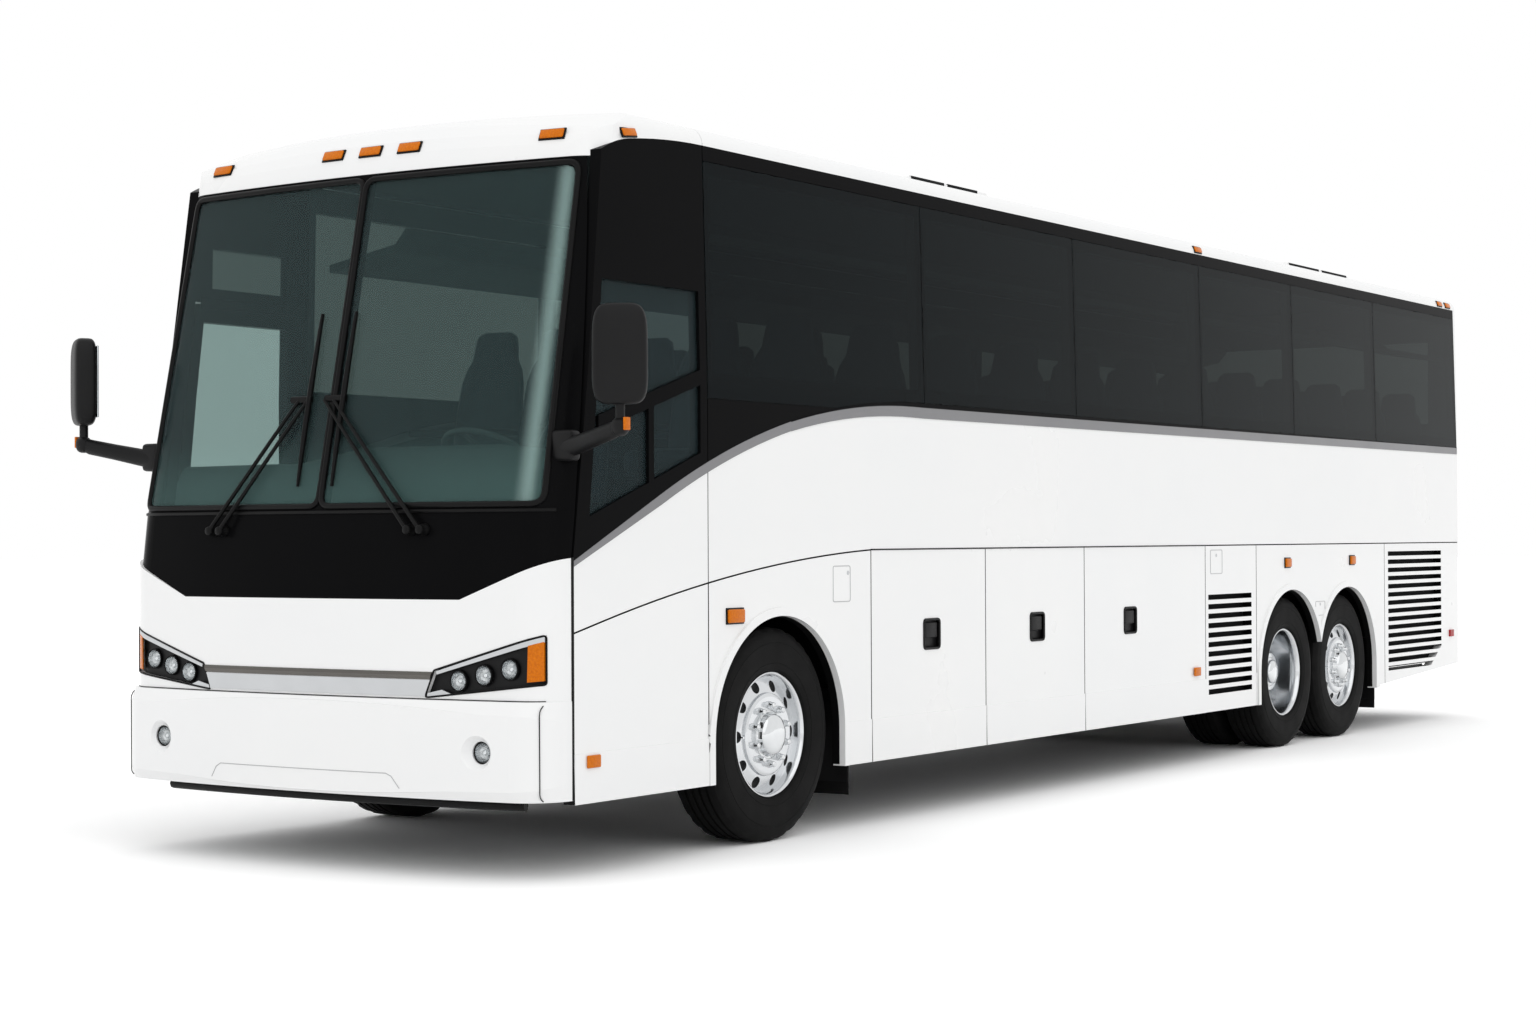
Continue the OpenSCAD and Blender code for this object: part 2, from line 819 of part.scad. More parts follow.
// wipers: pivot y, elbow y, blade y, side of the second rod
module wipers() {
  color("black") for (q = [[-666, -205, -144, 1], [624, -11, 50, -1]]) {
    for (t = [0, 70 * q[3]]) {
      difference() {
        translate([nose_x - 60, q[0] + t, 1522]) rotate([0, 90, 0]) cylinder(r = 26, h = 105);
        behind_face(nose_x, screen_z, mask_lean, 0);
      }
      wiper_bar(q[0] + t, 1522, q[1] + t * 0.8, 2120, 16, 6, 20);
    }
    wiper_bar(min(q[1] - 60, q[2] - 20), 2124, max(q[1] + 60, q[2] + 20), 2124, 34, 3, 25);
    wiper_bar(q[2], 1720, q[2], 2525, 24, -3, 15);
  }
}

module roof_vents() {
  color("white") for (q = vents) intersection() {
    hull_ring(q[0], q[1], -62, 0);
    along_y(-1000, 1000) polygon([[q[0], roof_z - 60], [q[0] + 160, roof_z + 90], [q[1] - 260, roof_z + 90],
                                  [q[1], roof_z - 60]]);
  }
}

module marker_lamps() {
  color("orange") {
    for (y = brow_lamps) intersection() {
      difference() {
        brow_face(1, -16);
        brow_face(1, 0);
      }
      ahead() area([y - 62, brow_z + 85], [y + 62, brow_z + 131]);
    }
    both() {
      for (q = side_lamps) block([q[0] - q[2] / 2, hw, q[1] - q[3] / 2], [q[0] + q[2] / 2, hw + 18, q[1] + q[3] / 2]);
      for (q = edge_lamps) difference() {
        block([q[0] - 55, 1150, band_z + q[1] - 20], [q[0] + 55, 1286, band_z + q[1] + 20]);
        along_x(-far, split_x) section(0);
        cap_body();
      }
      difference() {
        intersection() {
          face_shell(panel_x, 900, 0, 10, 24);
          ahead() difference() {
            lamp_zone(-6);
            area([0, 0], [1172, 2000]);
          }
        }
        along_y(-1400, 1400) behind_cap(-10);
      }
    }
    block([cap_x - 183, hw + sill_out, 478], [cap_x - 73, hw + sill_out + 14, 538]);
  }
}

module mud_flaps() {
  color("black") both() {
    block([front_x - 740, 800, 230], [front_x - 728, 1230, 700]);
    block([front_x - 817, 800, 640], [front_x - 728, 1230, 700]);
    block([tag_x - 742, 800, 230], [tag_x - 730, 1230, 700]);
    block([tag_x - 772, 800, 640], [tag_x - 730, 1230, 700]);
  }
}

module front_axle() {
  color("dimgray") {
    block([front_x - 45, -960, 462], [front_x + 45, 960, 582]);
    both() {
      difference() {
        translate([front_x, king_y, 462]) cylinder(r = 66, h = 120);
        translate([front_x, king_y, 400]) cylinder(r = 46, h = 300);
      }
      translate([front_x, 400, 582]) cylinder(r = 120, h = 318);
    }
  }
}

module drive_axle() {
  color("dimgray") {
    rotate([90, 0, 0]) translate([drive_x, tyre_r, -600]) cylinder(r = 85, h = 1200);
    translate([drive_x, 0, tyre_r]) sphere(r = 215);
    both() {
      rotate([-90, 0, 0]) translate([drive_x, -tyre_r, 590]) cylinder(r = 54, h = 510);
      translate([drive_x, 400, 560]) cylinder(r = 120, h = 340);
    }
  }
}

module tag_axle() {
  color("dimgray") {
    rotate([90, 0, 0]) translate([tag_x, tyre_r, -960]) cylinder(r = 60, h = 1920);
    both() {
      rotate([-90, 0, 0]) translate([tag_x, -tyre_r, 950]) cylinder(r = 40, h = 230);
      translate([tag_x, 400, 540]) cylinder(r = 120, h = 360);
    }
  }
}

module engine() {
  color("slategray") block([tail_x + 95, -510, 460], [tail_x + 1245, 510, 1250]);
}

// side profile of a seat with its front edge at x = 0 on a floor at z = 0
module seat_profile() {
  polygon([[-430, 0], [-80, 0], [-80, 330], [0, 360], [0, 440], [-seat_d + 230, 430], [-seat_d + 130, 1010],
           [-seat_d + 90, 1150], [-seat_d, 1150], [-seat_d, 1000], [-seat_d + 100, 400], [-seat_d + 170, 330], [-430, 330]]);
}

module seats() {
  color("darkslategray") {
    for (i = [0 : seat_rows - 1]) translate([seat_x - i * seat_pitch, 0, floor_z])
      both() for (y = [280, 742]) along_y(y, y + 440) seat_profile();
    translate([nose_x - 572, 0, deck_z]) along_y(330, 830) seat_profile();
  }
}

module dashboard() {
  color("black") {
    translate([nose_x - 202, 0, 0]) along_y(-440, 1180)
      polygon([[-170, deck_z], [-90, deck_z], [0, 1240], [0, 1660], [-130, 1720], [-250, 1700], [-270, 1640], [-190, 1500]]);
    translate([nose_x - 522, 580, 1850]) rotate([0, -wheel_lean, 0]) translate([0, 0, -330]) cylinder(r = 34, h = 290);
  }
}

// inner face of the side wall at height z
function wall_y(z) = inner_y - (z - waist_z) * (hw - top_y) / (band_z - waist_z);

module luggage_racks() {
  low = band_z - 433;
  color("gray") both() along_x(tail_x + 60, split_x - 157)
    polygon([[wall_y(low) - 0.3, low], [760, low + 80], [690, low + 160], [690, low + 200], [760, low + 120],
             [wall_y(low + 40) - 0.3, low + 40]]);
}

// one knuckle of a door's top hinge, with the leaf that carries it
module hinge_leaf() {
  translate([0, hw + pin_out, seam_z - gap / 2]) rotate([0, 90, 0]) cylinder(r = pin_r, h = 80, $fn = 24);
  block([0, hw - 6, door_top - 12], [80, hw + pin_out, seam_z - gap / 2]);
}

module luggage_door(q) {
  difference() {
    union() {
      along_y(inner_y, hw) area([q[0] + 4, skirt_z], [q[1] - 4, door_top]);
      along_y(hw - 20, hw + sill_out) area([q[0] + 4, skirt_z], [q[1] - 4, sill_z]);
      for (x = [q[0] + 120, (q[0] + q[1]) / 2, q[1] - 120]) translate([x - 40, 0, 0]) hinge_leaf();
    }
    along_y(hw - 28, hw + 40) area([q[2] - 85, 885], [q[2] + 85, 1040]);
  }
}

module luggage_door_l1() { color("white") luggage_door(bays[0]); }
module luggage_door_l2() { color("white") luggage_door(bays[1]); }
module luggage_door_l3() { color("white") luggage_door(bays[2]); }
module luggage_door_r1() { color("white") mirror([0, 1, 0]) luggage_door(bays[0]); }
module luggage_door_r2() { color("white") mirror([0, 1, 0]) luggage_door(bays[1]); }
module luggage_door_r3() { color("white") mirror([0, 1, 0]) luggage_door(bays[2]); }

// elevation of the panes in the entrance door
module door_panes() {
  difference() {
    union() {
      area([split_x + 143, 1480], [cap_x - 145, head_z - 90]);
      area([split_x + 143, 620], [cap_x - 165, 1340]);
    }
    polygon([[cap_x - 145, 1300], [cap_x - 295, head_z - 50], [cap_x - 85, head_z - 50], [cap_x - 85, 1300]]);
  }
}

module entrance_door() {
  color("black") mirror([0, 1, 0]) {
    difference() {
      intersection() {
        hull_ring(split_x - 700, half_l, 0, wall);
        along_y(700, 1500) doorway();
      }
      along_y(700, 1500) door_panes();
    }
    for (z = [440, 860, 1260]) {
      translate([cap_x - 80 + gap / 2, hw + pin_out, z]) cylinder(r = pin_r, h = 80, $fn = 24);
      block([cap_x - 92, hw - 6, z], [cap_x - 80 + gap / 2, hw + pin_out, z + 80]);
    }
  }
}

module entrance_glass() {
  color("lightslategray") mirror([0, 1, 0]) intersection() {
    hull_ring(split_x - 700, half_l, 20, 28);
    along_y(700, 1500) door_panes();
  }
}

module engine_door() {
  color("white") {
    difference() {
      along_x(-half_l + 6, tail_x) engine_opening();
      for (i = [0 : 7]) along_x(-far, 0) area([-640, 900 + 52 * i], [640, 926 + 52 * i]);
    }
    for (y = [-700, 0, 700]) {
      translate([-half_l + 6 - pin_out, y - 40, 1400 + gap / 2]) rotate([-90, 0, 0]) cylinder(r = pin_r, h = 80, $fn = 24);
      block([-half_l + 6 - pin_out, y - 40, 1388], [-half_l + 12, y + 40, 1400 + gap / 2]);
    }
  }
}

module steering_wheel() {
  color("black") translate([nose_x - 522, 580, 1850]) rotate([0, -wheel_lean, 0]) {
    rotate_extrude() translate([225, 0]) circle(r = 15, $fn = 24);
    translate([0, 0, -30]) cylinder(r = 55, h = 35);
    for (a = [0, 120, 240]) rotate([0, 0, a]) translate([0, -14, -16]) cube([222, 28, 14]);
  }
}

module knuckle() {
  translate([front_x, king_y, 392]) cylinder(r = 40, h = 260);
  for (z = [392, 602]) block([front_x - 45, king_y - 45, z], [front_x + 45, king_y + 115, z + 50]);
  block([front_x - 60, king_y + 76, 392], [front_x + 60, king_y + 116, 652]);
  translate([front_x, king_y + 110, tyre_r]) rotate([-90, 0, 0]) cylinder(r = 40, h = 70);
}

module knuckle_left() { color("dimgray") knuckle(); }
module knuckle_right() { color("dimgray") mirror([0, 1, 0]) knuckle(); }

// a tyre about the Z axis
module tyre() {
  w = tyre_w / 2;
  rotate_extrude() polygon([[287, -106], [306, -110], [308, -w + 20], [330, -w + 4], [420, -w], [490, -w + 10],
                            [tyre_r, -w + 40], [tyre_r, w - 40], [490, w - 10], [420, w], [330, w - 4], [308, w - 20],
                            [306, 110], [287, 106]]);
}

// places a wheel that is drawn about Z on an axle, its outer face towards +Y
module on_axle(x, y) {
  translate([x, y, tyre_r]) rotate([-90, 0, 0]) children();
}

// a single wheel with its disc and hub near the outer face
module single_rim() {
  difference() {
    rotate_extrude() polygon([[rim_r, 125], [rim_r, 112], [286, 108], [286, -108], [rim_r, -112], [rim_r, -125], [290, -125],
                              [268, -100], [268, 40], [236, 66], [150, 84], [115, 84], [115, 24], [46, 24], [46, 96],
                              [0, 96], [0, 148], [60, 142], [78, 118], [118, 112], [160, 108], [250, 84], [276, 60],
                              [276, 96], [292, 125]]);
    for (i = [0 : hand_holes - 1]) rotate([0, 0, i * 360 / hand_holes]) translate([208, 0, 0]) cylinder(r = 27, h = 160);
  }
}

// the drive wheels: both rims and their hub
module twin_rim() {
  q = track_y - twin_y;
  difference() {
    rotate_extrude() polygon([[rim_r, 125], [rim_r, 112], [286, 108], [286, -108], [rim_r, -112], [rim_r, -128],
                              [286, -128], [286, 128 - q], [rim_r, 125 - q], [rim_r, 112 - q], [286, 108 - q],
                              [286, -108 - q], [rim_r, -112 - q], [rim_r, -125 - q], [290, -125 - q], [274, -100 - q],
                              [274, -176], [60, -176], [60, 30], [0, 30], [0, 62], [80, 56], [100, 30], [130, 24],
                              [130, -134], [200, -140], [272, -120], [276, -90], [276, 96], [292, 125]]);
    for (i = [0 : hand_holes - 1]) rotate([0, 0, i * 360 / hand_holes]) translate([215, 0, -400]) cylinder(r = 27, h = 420);
  }
}

module tyre_fl() { color("black") on_axle(front_x, track_y) tyre(); }
module tyre_fr() { color("black") mirror([0, 1, 0]) on_axle(front_x, track_y) tyre(); }
module tyre_tl() { color("black") on_axle(tag_x, track_y) tyre(); }
module tyre_tr() { color("black") mirror([0, 1, 0]) on_axle(tag_x, track_y) tyre(); }
module tyre_dl() { color("black") for (y = [track_y, twin_y]) on_axle(drive_x, y) tyre(); }
module tyre_dr() { color("black") mirror([0, 1, 0]) for (y = [track_y, twin_y]) on_axle(drive_x, y) tyre(); }
module rim_fl() { color("silver") on_axle(front_x, track_y) single_rim(); }
module rim_fr() { color("silver") mirror([0, 1, 0]) on_axle(front_x, track_y) single_rim(); }
module rim_tl() { color("silver") on_axle(tag_x, track_y) single_rim(); }
module rim_tr() { color("silver") mirror([0, 1, 0]) on_axle(tag_x, track_y) single_rim(); }
module rim_dl() { color("silver") on_axle(drive_x, track_y) twin_rim(); }
module rim_dr() { color("silver") mirror([0, 1, 0]) on_axle(drive_x, track_y) twin_rim(); }

floor();
underbody();
roof();
front_cap();
windscreen_glass();
windscreen_frame();
front_mask();
front_panel();
front_bumper();
bright_bar();
headlamp_housings();
lamp_lenses();
upper_walls();
cab_walls();
side_glass();
side_panels();
stripes();
skirt_panels();
rear_wall();
rear_glass();
rear_bumper();
tail_lamps();
mirrors();
wipers();
roof_vents();
marker_lamps();
mud_flaps();
front_axle();
drive_axle();
tag_axle();
engine();
seats();
dashboard();
luggage_racks();
luggage_door_l1();
luggage_door_l2();
luggage_door_l3();
luggage_door_r1();
luggage_door_r2();
luggage_door_r3();
entrance_door();
entrance_glass();
engine_door();
steering_wheel();
knuckle_left();
knuckle_right();
tyre_fl();
tyre_fr();
tyre_dl();
tyre_dr();
tyre_tl();
tyre_tr();
rim_fl();
rim_fr();
rim_dl();
rim_dr();
rim_tl();
rim_tr();
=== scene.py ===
# %% [markdown]
# # Dressing a three-axle touring coach
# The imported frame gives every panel, wheel and door at its real size and place.
# This lesson gives those solids their finishes, and adds what is too fine for them:
# tyre treads, wheel nuts, lamp glass, rubber seals, door pulls, cushions and intake slots.

# %% The frame
import json
import math

import bmesh
import bpy
from mathutils import Matrix, Vector


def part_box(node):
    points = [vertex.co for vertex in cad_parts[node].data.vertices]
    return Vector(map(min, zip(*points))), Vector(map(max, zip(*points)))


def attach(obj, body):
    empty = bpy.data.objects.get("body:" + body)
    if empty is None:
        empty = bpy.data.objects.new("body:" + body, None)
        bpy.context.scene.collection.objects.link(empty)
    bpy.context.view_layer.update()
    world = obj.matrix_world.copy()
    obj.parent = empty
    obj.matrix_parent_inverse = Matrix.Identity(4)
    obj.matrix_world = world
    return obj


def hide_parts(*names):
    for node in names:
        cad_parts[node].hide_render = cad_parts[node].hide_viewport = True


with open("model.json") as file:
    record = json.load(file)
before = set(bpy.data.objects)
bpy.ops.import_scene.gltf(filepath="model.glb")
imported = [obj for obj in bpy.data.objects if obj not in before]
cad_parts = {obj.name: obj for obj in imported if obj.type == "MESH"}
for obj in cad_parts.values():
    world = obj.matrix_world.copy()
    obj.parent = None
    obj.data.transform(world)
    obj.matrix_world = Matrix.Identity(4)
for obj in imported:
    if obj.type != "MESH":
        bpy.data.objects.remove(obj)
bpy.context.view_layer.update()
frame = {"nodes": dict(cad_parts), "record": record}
nodes = frame["nodes"]

# %% [markdown]
# ## Colours and patterns
# Paint and plastic colours are known as sRGB hex values, but shaders count in linear light,
# so one function turns the first into the second. Patterns are thought of in millimetres:
# a noise of scale 1 has features about a metre across, so a size in millimetres becomes a scale.

# %% Colour and scale helpers
MM = 0.001


def linear(hex_colour):
    """An sRGB hex colour as linear red, green, blue and alpha."""
    parts = [int(hex_colour[i:i + 2], 16) / 255 for i in (1, 3, 5)]
    return [c / 12.92 if c <= 0.04045 else ((c + 0.055) / 1.055) ** 2.4 for c in parts] + [1.0]


def per_mm(size):
    """Texture scale whose features are about that many millimetres across."""
    return 1.0 / (size * MM)


def add(tree, kind, inputs=None, **settings):
    """Adds a shader node with its settings; an input is a value or another node's output."""
    made = tree.nodes.new(kind)
    for key, value in settings.items():
        setattr(made, key, value)
    for socket, value in (inputs or {}).items():
        if isinstance(value, bpy.types.NodeSocket):
            tree.links.new(value, made.inputs[socket])
        else:
            made.inputs[socket].default_value = value
    return made


print("white paint in linear light:", [round(c, 3) for c in linear("#f4f4f3")[:3]])

# %% [markdown]
# ## One recipe for a surface
# Most finishes on a coach are a base colour that drifts a little over the panel, a gloss that
# drifts with it, and a fine relief. Two noises do that: a broad one for colour and gloss and a
# fine one for relief. Each finish then sets its own extra sockets, such as metallic or coat.

# %% The surface recipe


def surface(name, pale, dark, drift_mm, gloss, grain_mm, relief, **sockets):
    """A material whose colour drifts between two hex values and whose roughness spans gloss."""
    made = bpy.data.materials.new(name)
    made.use_nodes = True
    tree = made.node_tree
    skin = tree.nodes["Principled BSDF"]
    place = add(tree, "ShaderNodeTexCoord").outputs["Object"]
    drift = add(tree, "ShaderNodeTexNoise", {"Vector": place, "Scale": per_mm(drift_mm), "Detail": 4.0})
    tint = add(tree, "ShaderNodeMix", {0: drift.outputs["Fac"], 6: linear(pale), 7: linear(dark)},
               data_type="RGBA")
    tree.links.new(tint.outputs[2], skin.inputs["Base Color"])
    rough = add(tree, "ShaderNodeMapRange", {"Value": drift.outputs["Fac"], "To Min": gloss[0],
                                             "To Max": gloss[1]})
    tree.links.new(rough.outputs["Result"], skin.inputs["Roughness"])
    grain = add(tree, "ShaderNodeTexNoise", {"Vector": place, "Scale": per_mm(grain_mm), "Detail": 2.0})
    bump = add(tree, "ShaderNodeBump", {"Height": grain.outputs["Fac"], "Strength": relief,
                                        "Distance": 0.002})
    tree.links.new(bump.outputs["Normal"], skin.inputs["Normal"])
    for socket, value in sockets.items():
        skin.inputs[socket.replace("_", " ")].default_value = value
    return made


# %% [markdown]
# ## The coach's finishes
# The body is sprayed polyurethane enamel under clear lacquer: it gives clean white with a soft
# broad gloss and a trace of orange peel, drawn coarser than real so that it can be seen.
# The window band is the same enamel in black. Its specular level is low, because in the open
# the band mirrors dark surroundings and not a white studio.

# %% Painted finishes
white_enamel = surface("white_enamel", "#f6f6f5", "#f0f1f2", 900, (0.24, 0.34), 30, 0.02,
                       Coat_Weight=0.35, Coat_Roughness=0.06, Specular_IOR_Level=0.4)
black_enamel = surface("black_enamel", "#0f0f10", "#0b0b0c", 700, (0.16, 0.26), 30, 0.02,
                       Specular_IOR_Level=0.02)
stripe_enamel = surface("grey_enamel", "#7d7d7f", "#727275", 300, (0.3, 0.42), 12, 0.05, Coat_Weight=0.15)
print("paints:", white_enamel.name, black_enamel.name, stripe_enamel.name)

# %% [markdown]
# Rubber and moulded plastic scatter light: rubber more, with a dusty bloom, and grained ABS less.
# Cast iron and the bitumen-coated chassis are dull and dark, so the underside stays quiet.

# %% Rubber, plastic and iron
tyre_rubber = surface("tyre_rubber", "#151515", "#0e0e0e", 120, (0.62, 0.8), 6, 0.12,
                      Specular_IOR_Level=0.1)
rubber_and_painted_shade = surface("rubber_and_painted_shade", "#0e0e0f", "#0a0a0a", 200, (0.32, 0.45), 8, 0.05,
                      Specular_IOR_Level=0.12)
grained_abs = surface("grained_black_abs", "#151516", "#0f0f10", 150, (0.38, 0.5), 3, 0.18,
                      Specular_IOR_Level=0.18)
chassis_coat = surface("chassis_bitumen", "#17181a", "#0e0f10", 250, (0.7, 0.9), 14, 0.3,
                       Specular_IOR_Level=0.15)
cast_iron = surface("cast_iron", "#2b2c2e", "#1c1d1e", 90, (0.55, 0.75), 8, 0.4, Metallic=0.4)
cabin_vinyl = surface("cabin_vinyl", "#4b5556", "#3d4647", 260, (0.55, 0.7), 5, 0.2)
headliner = surface("headliner_felt", "#4a4f52", "#3f4447", 200, (0.85, 0.95), 4, 0.25)
floor_vinyl = surface("floor_vinyl", "#3a3d40", "#2c2f31", 60, (0.5, 0.65), 5, 0.2)
print("dull finishes:", tyre_rubber.name, rubber_and_painted_shade.name, grained_abs.name, chassis_coat.name)

# %% [markdown]
# ## Bright metal
# The wheels are forged aluminium, polished on a lathe. Polishing leaves fine rings about the hub,
# so a wave pattern in rings, about the wheel's own axle, modulates the gloss. Chrome plate is
# smoother and whiter.

# %% Metals


def lathe_polished(name, colour, gloss, ring_mm):
    """Polished metal with turning marks in rings about the piece's own middle axis."""
    made = surface(name, colour, colour, 80, gloss, 20, 0.01, Metallic=1.0)
    tree = made.node_tree
    skin = tree.nodes["Principled BSDF"]
    place = add(tree, "ShaderNodeTexCoord").outputs["Object"]
    rings = add(tree, "ShaderNodeTexWave", {"Vector": place, "Scale": per_mm(ring_mm) / 20,
                                            "Distortion": 0.4},
                wave_type="RINGS", rings_direction="Y")
    marks = add(tree, "ShaderNodeBump", {"Height": rings.outputs["Fac"], "Strength": 0.03,
                                         "Distance": 0.001})
    tree.links.new(marks.outputs["Normal"], skin.inputs["Normal"])
    return made


wheel_aluminium = lathe_polished("polished_aluminium", "#d6d8da", (0.10, 0.2), 4)
chrome_plate = surface("chrome_plate", "#e2e4e5", "#d4d6d8", 60, (0.05, 0.1), 20, 0.01, Metallic=1.0)
satin_aluminium = surface("satin_aluminium", "#c9cbcd", "#bfc1c3", 150, (0.3, 0.4), 6, 0.03, Metallic=0.85)
print("metals:", wheel_aluminium.name, chrome_plate.name, satin_aluminium.name)

# %% [markdown]
# ## Glass and lamp plastics
# A pane is a solid of its own, so its shader adds two things: a dark tone that it keeps, and a tinted
# share that passes straight through. Light crosses two faces, so each passes the root of the share.
# Privacy glass passes little, the windscreen nearly half, with a green cast. A painted reflection makes
# the windscreen's colour paler towards its foot and along the bend at its left edge.
# Lamp lenses are dyed acrylic, glossy, with small prisms moulded inside, drawn as cells in rows.

# %% Glass


def glass(name, colour, passes, mirror):
    """A pane with a dark tone and a mirror that passes shares of red, green and blue."""
    made = surface(name, colour, colour, 800, (0.02, 0.05), 400, 0.0, Specular_IOR_Level=mirror)
    tree = made.node_tree
    through = add(tree, "ShaderNodeBsdfTransparent", {"Color": [share ** 0.5 for share in passes] + [1.0]})
    kept = tree.nodes["Principled BSDF"]
    both = add(tree, "ShaderNodeAddShader", {0: kept.outputs["BSDF"], 1: through.outputs["BSDF"]})
    tree.links.new(both.outputs["Shader"], tree.nodes["Material Output"].inputs["Surface"])
    made.surface_render_method = "DITHERED"
    return made


def ramp(tree, value, start, end):
    """A smooth step from 0 to 1 as a value goes from start to end."""
    step = add(tree, "ShaderNodeMapRange", {"Value": value, "From Min": start, "From Max": end},
               interpolation_type="SMOOTHSTEP")
    return step.outputs["Result"]


privacy_glass = glass("privacy_glass", "#0d1214", (0.095, 0.11, 0.105), 0.03)
cab_glass = glass("cab_glass", "#1a2224", (0.26, 0.32, 0.32), 0.03)
door_glass = glass("door_glass", "#1a2224", (0.50, 0.58, 0.57), 0.03)
clear_lens = glass("clear_polycarbonate", "#1c1d1e", (0.86, 0.88, 0.88), 0.4)
# the foot and bend tones are painted reflections laid into the windscreen's colour
SCREEN_TONE, FOOT_REFLECTION_TONE, BEND_REFLECTION_TONE = "#20292a", "#2e3f3e", "#667674"
REFLECTION_FROM_Z, REFLECTION_TO_Z = 2.00, 1.62
BEND_START_Y, BEND_Y, BEND_END_Y = 1.05, 1.13, 1.18
screen_glass = glass("screen_glass", SCREEN_TONE, (0.36, 0.44, 0.42), 0.04)


def paint_screen_reflections(pane):
    """Paints reflections into the windscreen's colour: paler towards its foot and along the bend at its
    left edge.
    """
    tree = pane.node_tree
    spot = add(tree, "ShaderNodeSeparateXYZ", {0: add(tree, "ShaderNodeTexCoord").outputs["Object"]})
    y, z = spot.outputs["Y"], spot.outputs["Z"]
    edge = add(tree, "ShaderNodeMath", {0: ramp(tree, y, BEND_START_Y, BEND_Y),
                                        1: ramp(tree, y, BEND_END_Y, BEND_Y)}, operation="MULTIPLY")
    foot = add(tree, "ShaderNodeMix", {0: ramp(tree, z, REFLECTION_FROM_Z, REFLECTION_TO_Z), 6: linear(SCREEN_TONE),
                                       7: linear(FOOT_REFLECTION_TONE)}, data_type="RGBA")
    bend = add(tree, "ShaderNodeMix", {0: edge.outputs[0], 6: foot.outputs[2], 7: linear(BEND_REFLECTION_TONE)},
               data_type="RGBA")
    tree.links.new(bend.outputs[2], tree.nodes["Principled BSDF"].inputs["Base Color"])


paint_screen_reflections(screen_glass)


def dyed_acrylic(name, colour, deep, prism_mm):
    """A dyed lens with moulded prisms that glitter in rows."""
    made = surface(name, colour, deep, 9, (0.14, 0.22), 6, 0.02, Specular_IOR_Level=0.1, Coat_Weight=0.12,
                   Coat_Roughness=0.04)
    tree = made.node_tree
    skin = tree.nodes["Principled BSDF"]
    place = add(tree, "ShaderNodeTexCoord").outputs["Object"]
    cells = add(tree, "ShaderNodeTexVoronoi", {"Vector": place, "Scale": per_mm(prism_mm),
                                               "Randomness": 0.0})
    relief = add(tree, "ShaderNodeBump", {"Height": cells.outputs["Distance"], "Strength": 0.5,
                                          "Distance": 0.003})
    tree.links.new(relief.outputs["Normal"], skin.inputs["Normal"])
    return made


amber_lens = dyed_acrylic("amber_acrylic", "#e88408", "#b85402", 14)
red_lens = dyed_acrylic("red_acrylic", "#b3161c", "#8a0c12", 14)
print("glass:", privacy_glass.name, screen_glass.name, "lenses:", amber_lens.name, red_lens.name)

# %% [markdown]
# ## Finishes on the solids
# Each solid takes the finish of its record slot, so one table from slot to material dresses all.
# The inside of the roof and walls is lined with felt and vinyl: faces that look inward get that.

# %% Slots to finishes
slot_finish = {
    "body_white": white_enamel, "body_black": black_enamel, "stripe_grey": stripe_enamel,
    "side_glass": privacy_glass, "screen_glass": screen_glass,
    "trim_black": grained_abs, "tyre": tyre_rubber,
    "wheel_aluminium": wheel_aluminium, "chrome": chrome_plate,
    "lamp_clear": clear_lens, "lamp_amber": amber_lens, "lamp_red": red_lens,
    "underbody": chassis_coat, "axle_iron": cast_iron,
    "seat_fabric": cabin_vinyl, "floor_vinyl": floor_vinyl, "cabin_plastic": cabin_vinyl}
node_slot = {row["node"]: row["material_slot"] for row in frame["record"]["subparts"]}
for name, solid in nodes.items():
    solid.data.materials.clear()
    solid.data.materials.append(slot_finish[node_slot[name]])


def line_inside(name, lining, keeps):
    """Gives the lining to the faces of a node for which keeps(centre, normal) is true."""
    mesh = nodes[name].data
    place = nodes[name].matrix_world
    mesh.materials.append(lining)
    count = 0
    for face in mesh.polygons:
        if keeps(place @ face.center, place.to_3x3() @ face.normal):
            face.material_index = len(mesh.materials) - 1
            count += 1
    return count


CAP_LINING_X, CAB_PANES_X = 5.4, 4.76
roof_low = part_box("roof")[0].z
lined = line_inside("roof", headliner, lambda c, n: n.z < -0.1)
lined += line_inside("front_cap", headliner, lambda c, n: n.z < -0.1 and c.x < CAP_LINING_X)
lined += line_inside("side_panels", cabin_vinyl, lambda c, n: n.y * c.y < -0.1)
lined += line_inside("upper_walls", headliner, lambda c, n: n.y * c.y < -0.1)
lined += line_inside("side_glass", cab_glass, lambda c, n: c.x > CAB_PANES_X and c.y > 0)
lined += line_inside("entrance_glass", door_glass, lambda c, n: True)
lined += line_inside("rear_wall", cabin_vinyl, lambda c, n: n.x > 0.5)
print("lined faces:", lined, "over the cabin from", round(roof_low, 3))

# %% [markdown]
# Panels close on rubber, and the narrow faces inside their gaps and slots are painted black as shade,
# for without that the white edges light each other and the shut lines vanish. The flanges round the wheels
# stay white.

# %% Dark gaps
HALF_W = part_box("side_panels")[1].y
ARCH_R, AXLE_Z, AXLE_XS = 0.578, 0.522, (4.140, -2.440, -3.530)
FLANGE_FOOT_Z, FLANGE_REACH = 0.36, 0.03
END_X, SET_BACK = 6.0, 0.004


def in_gap(c, n):
    """True for a narrow face inside a gap: set back from the skin, facing along it, off the arches."""
    from_axle = min(math.hypot(c.x - x, c.z - AXLE_Z) for x in AXLE_XS)
    at_wheel = c.z > FLANGE_FOOT_Z and from_axle < ARCH_R + FLANGE_REACH
    along = max(abs(n.x), abs(n.z)) > 0.9
    return abs(c.y) < HALF_W - SET_BACK and abs(c.x) < END_X and along and not at_wheel


edges = 0
# the narrow faces in gaps and slots take black rubber as painted shade
for name in nodes:
    if name.startswith("luggage_door") or name in ("skirt_panels", "side_panels", "entrance_door"):
        edges += line_inside(name, rubber_and_painted_shade, in_gap)
print("faces in gaps and slots:", edges)

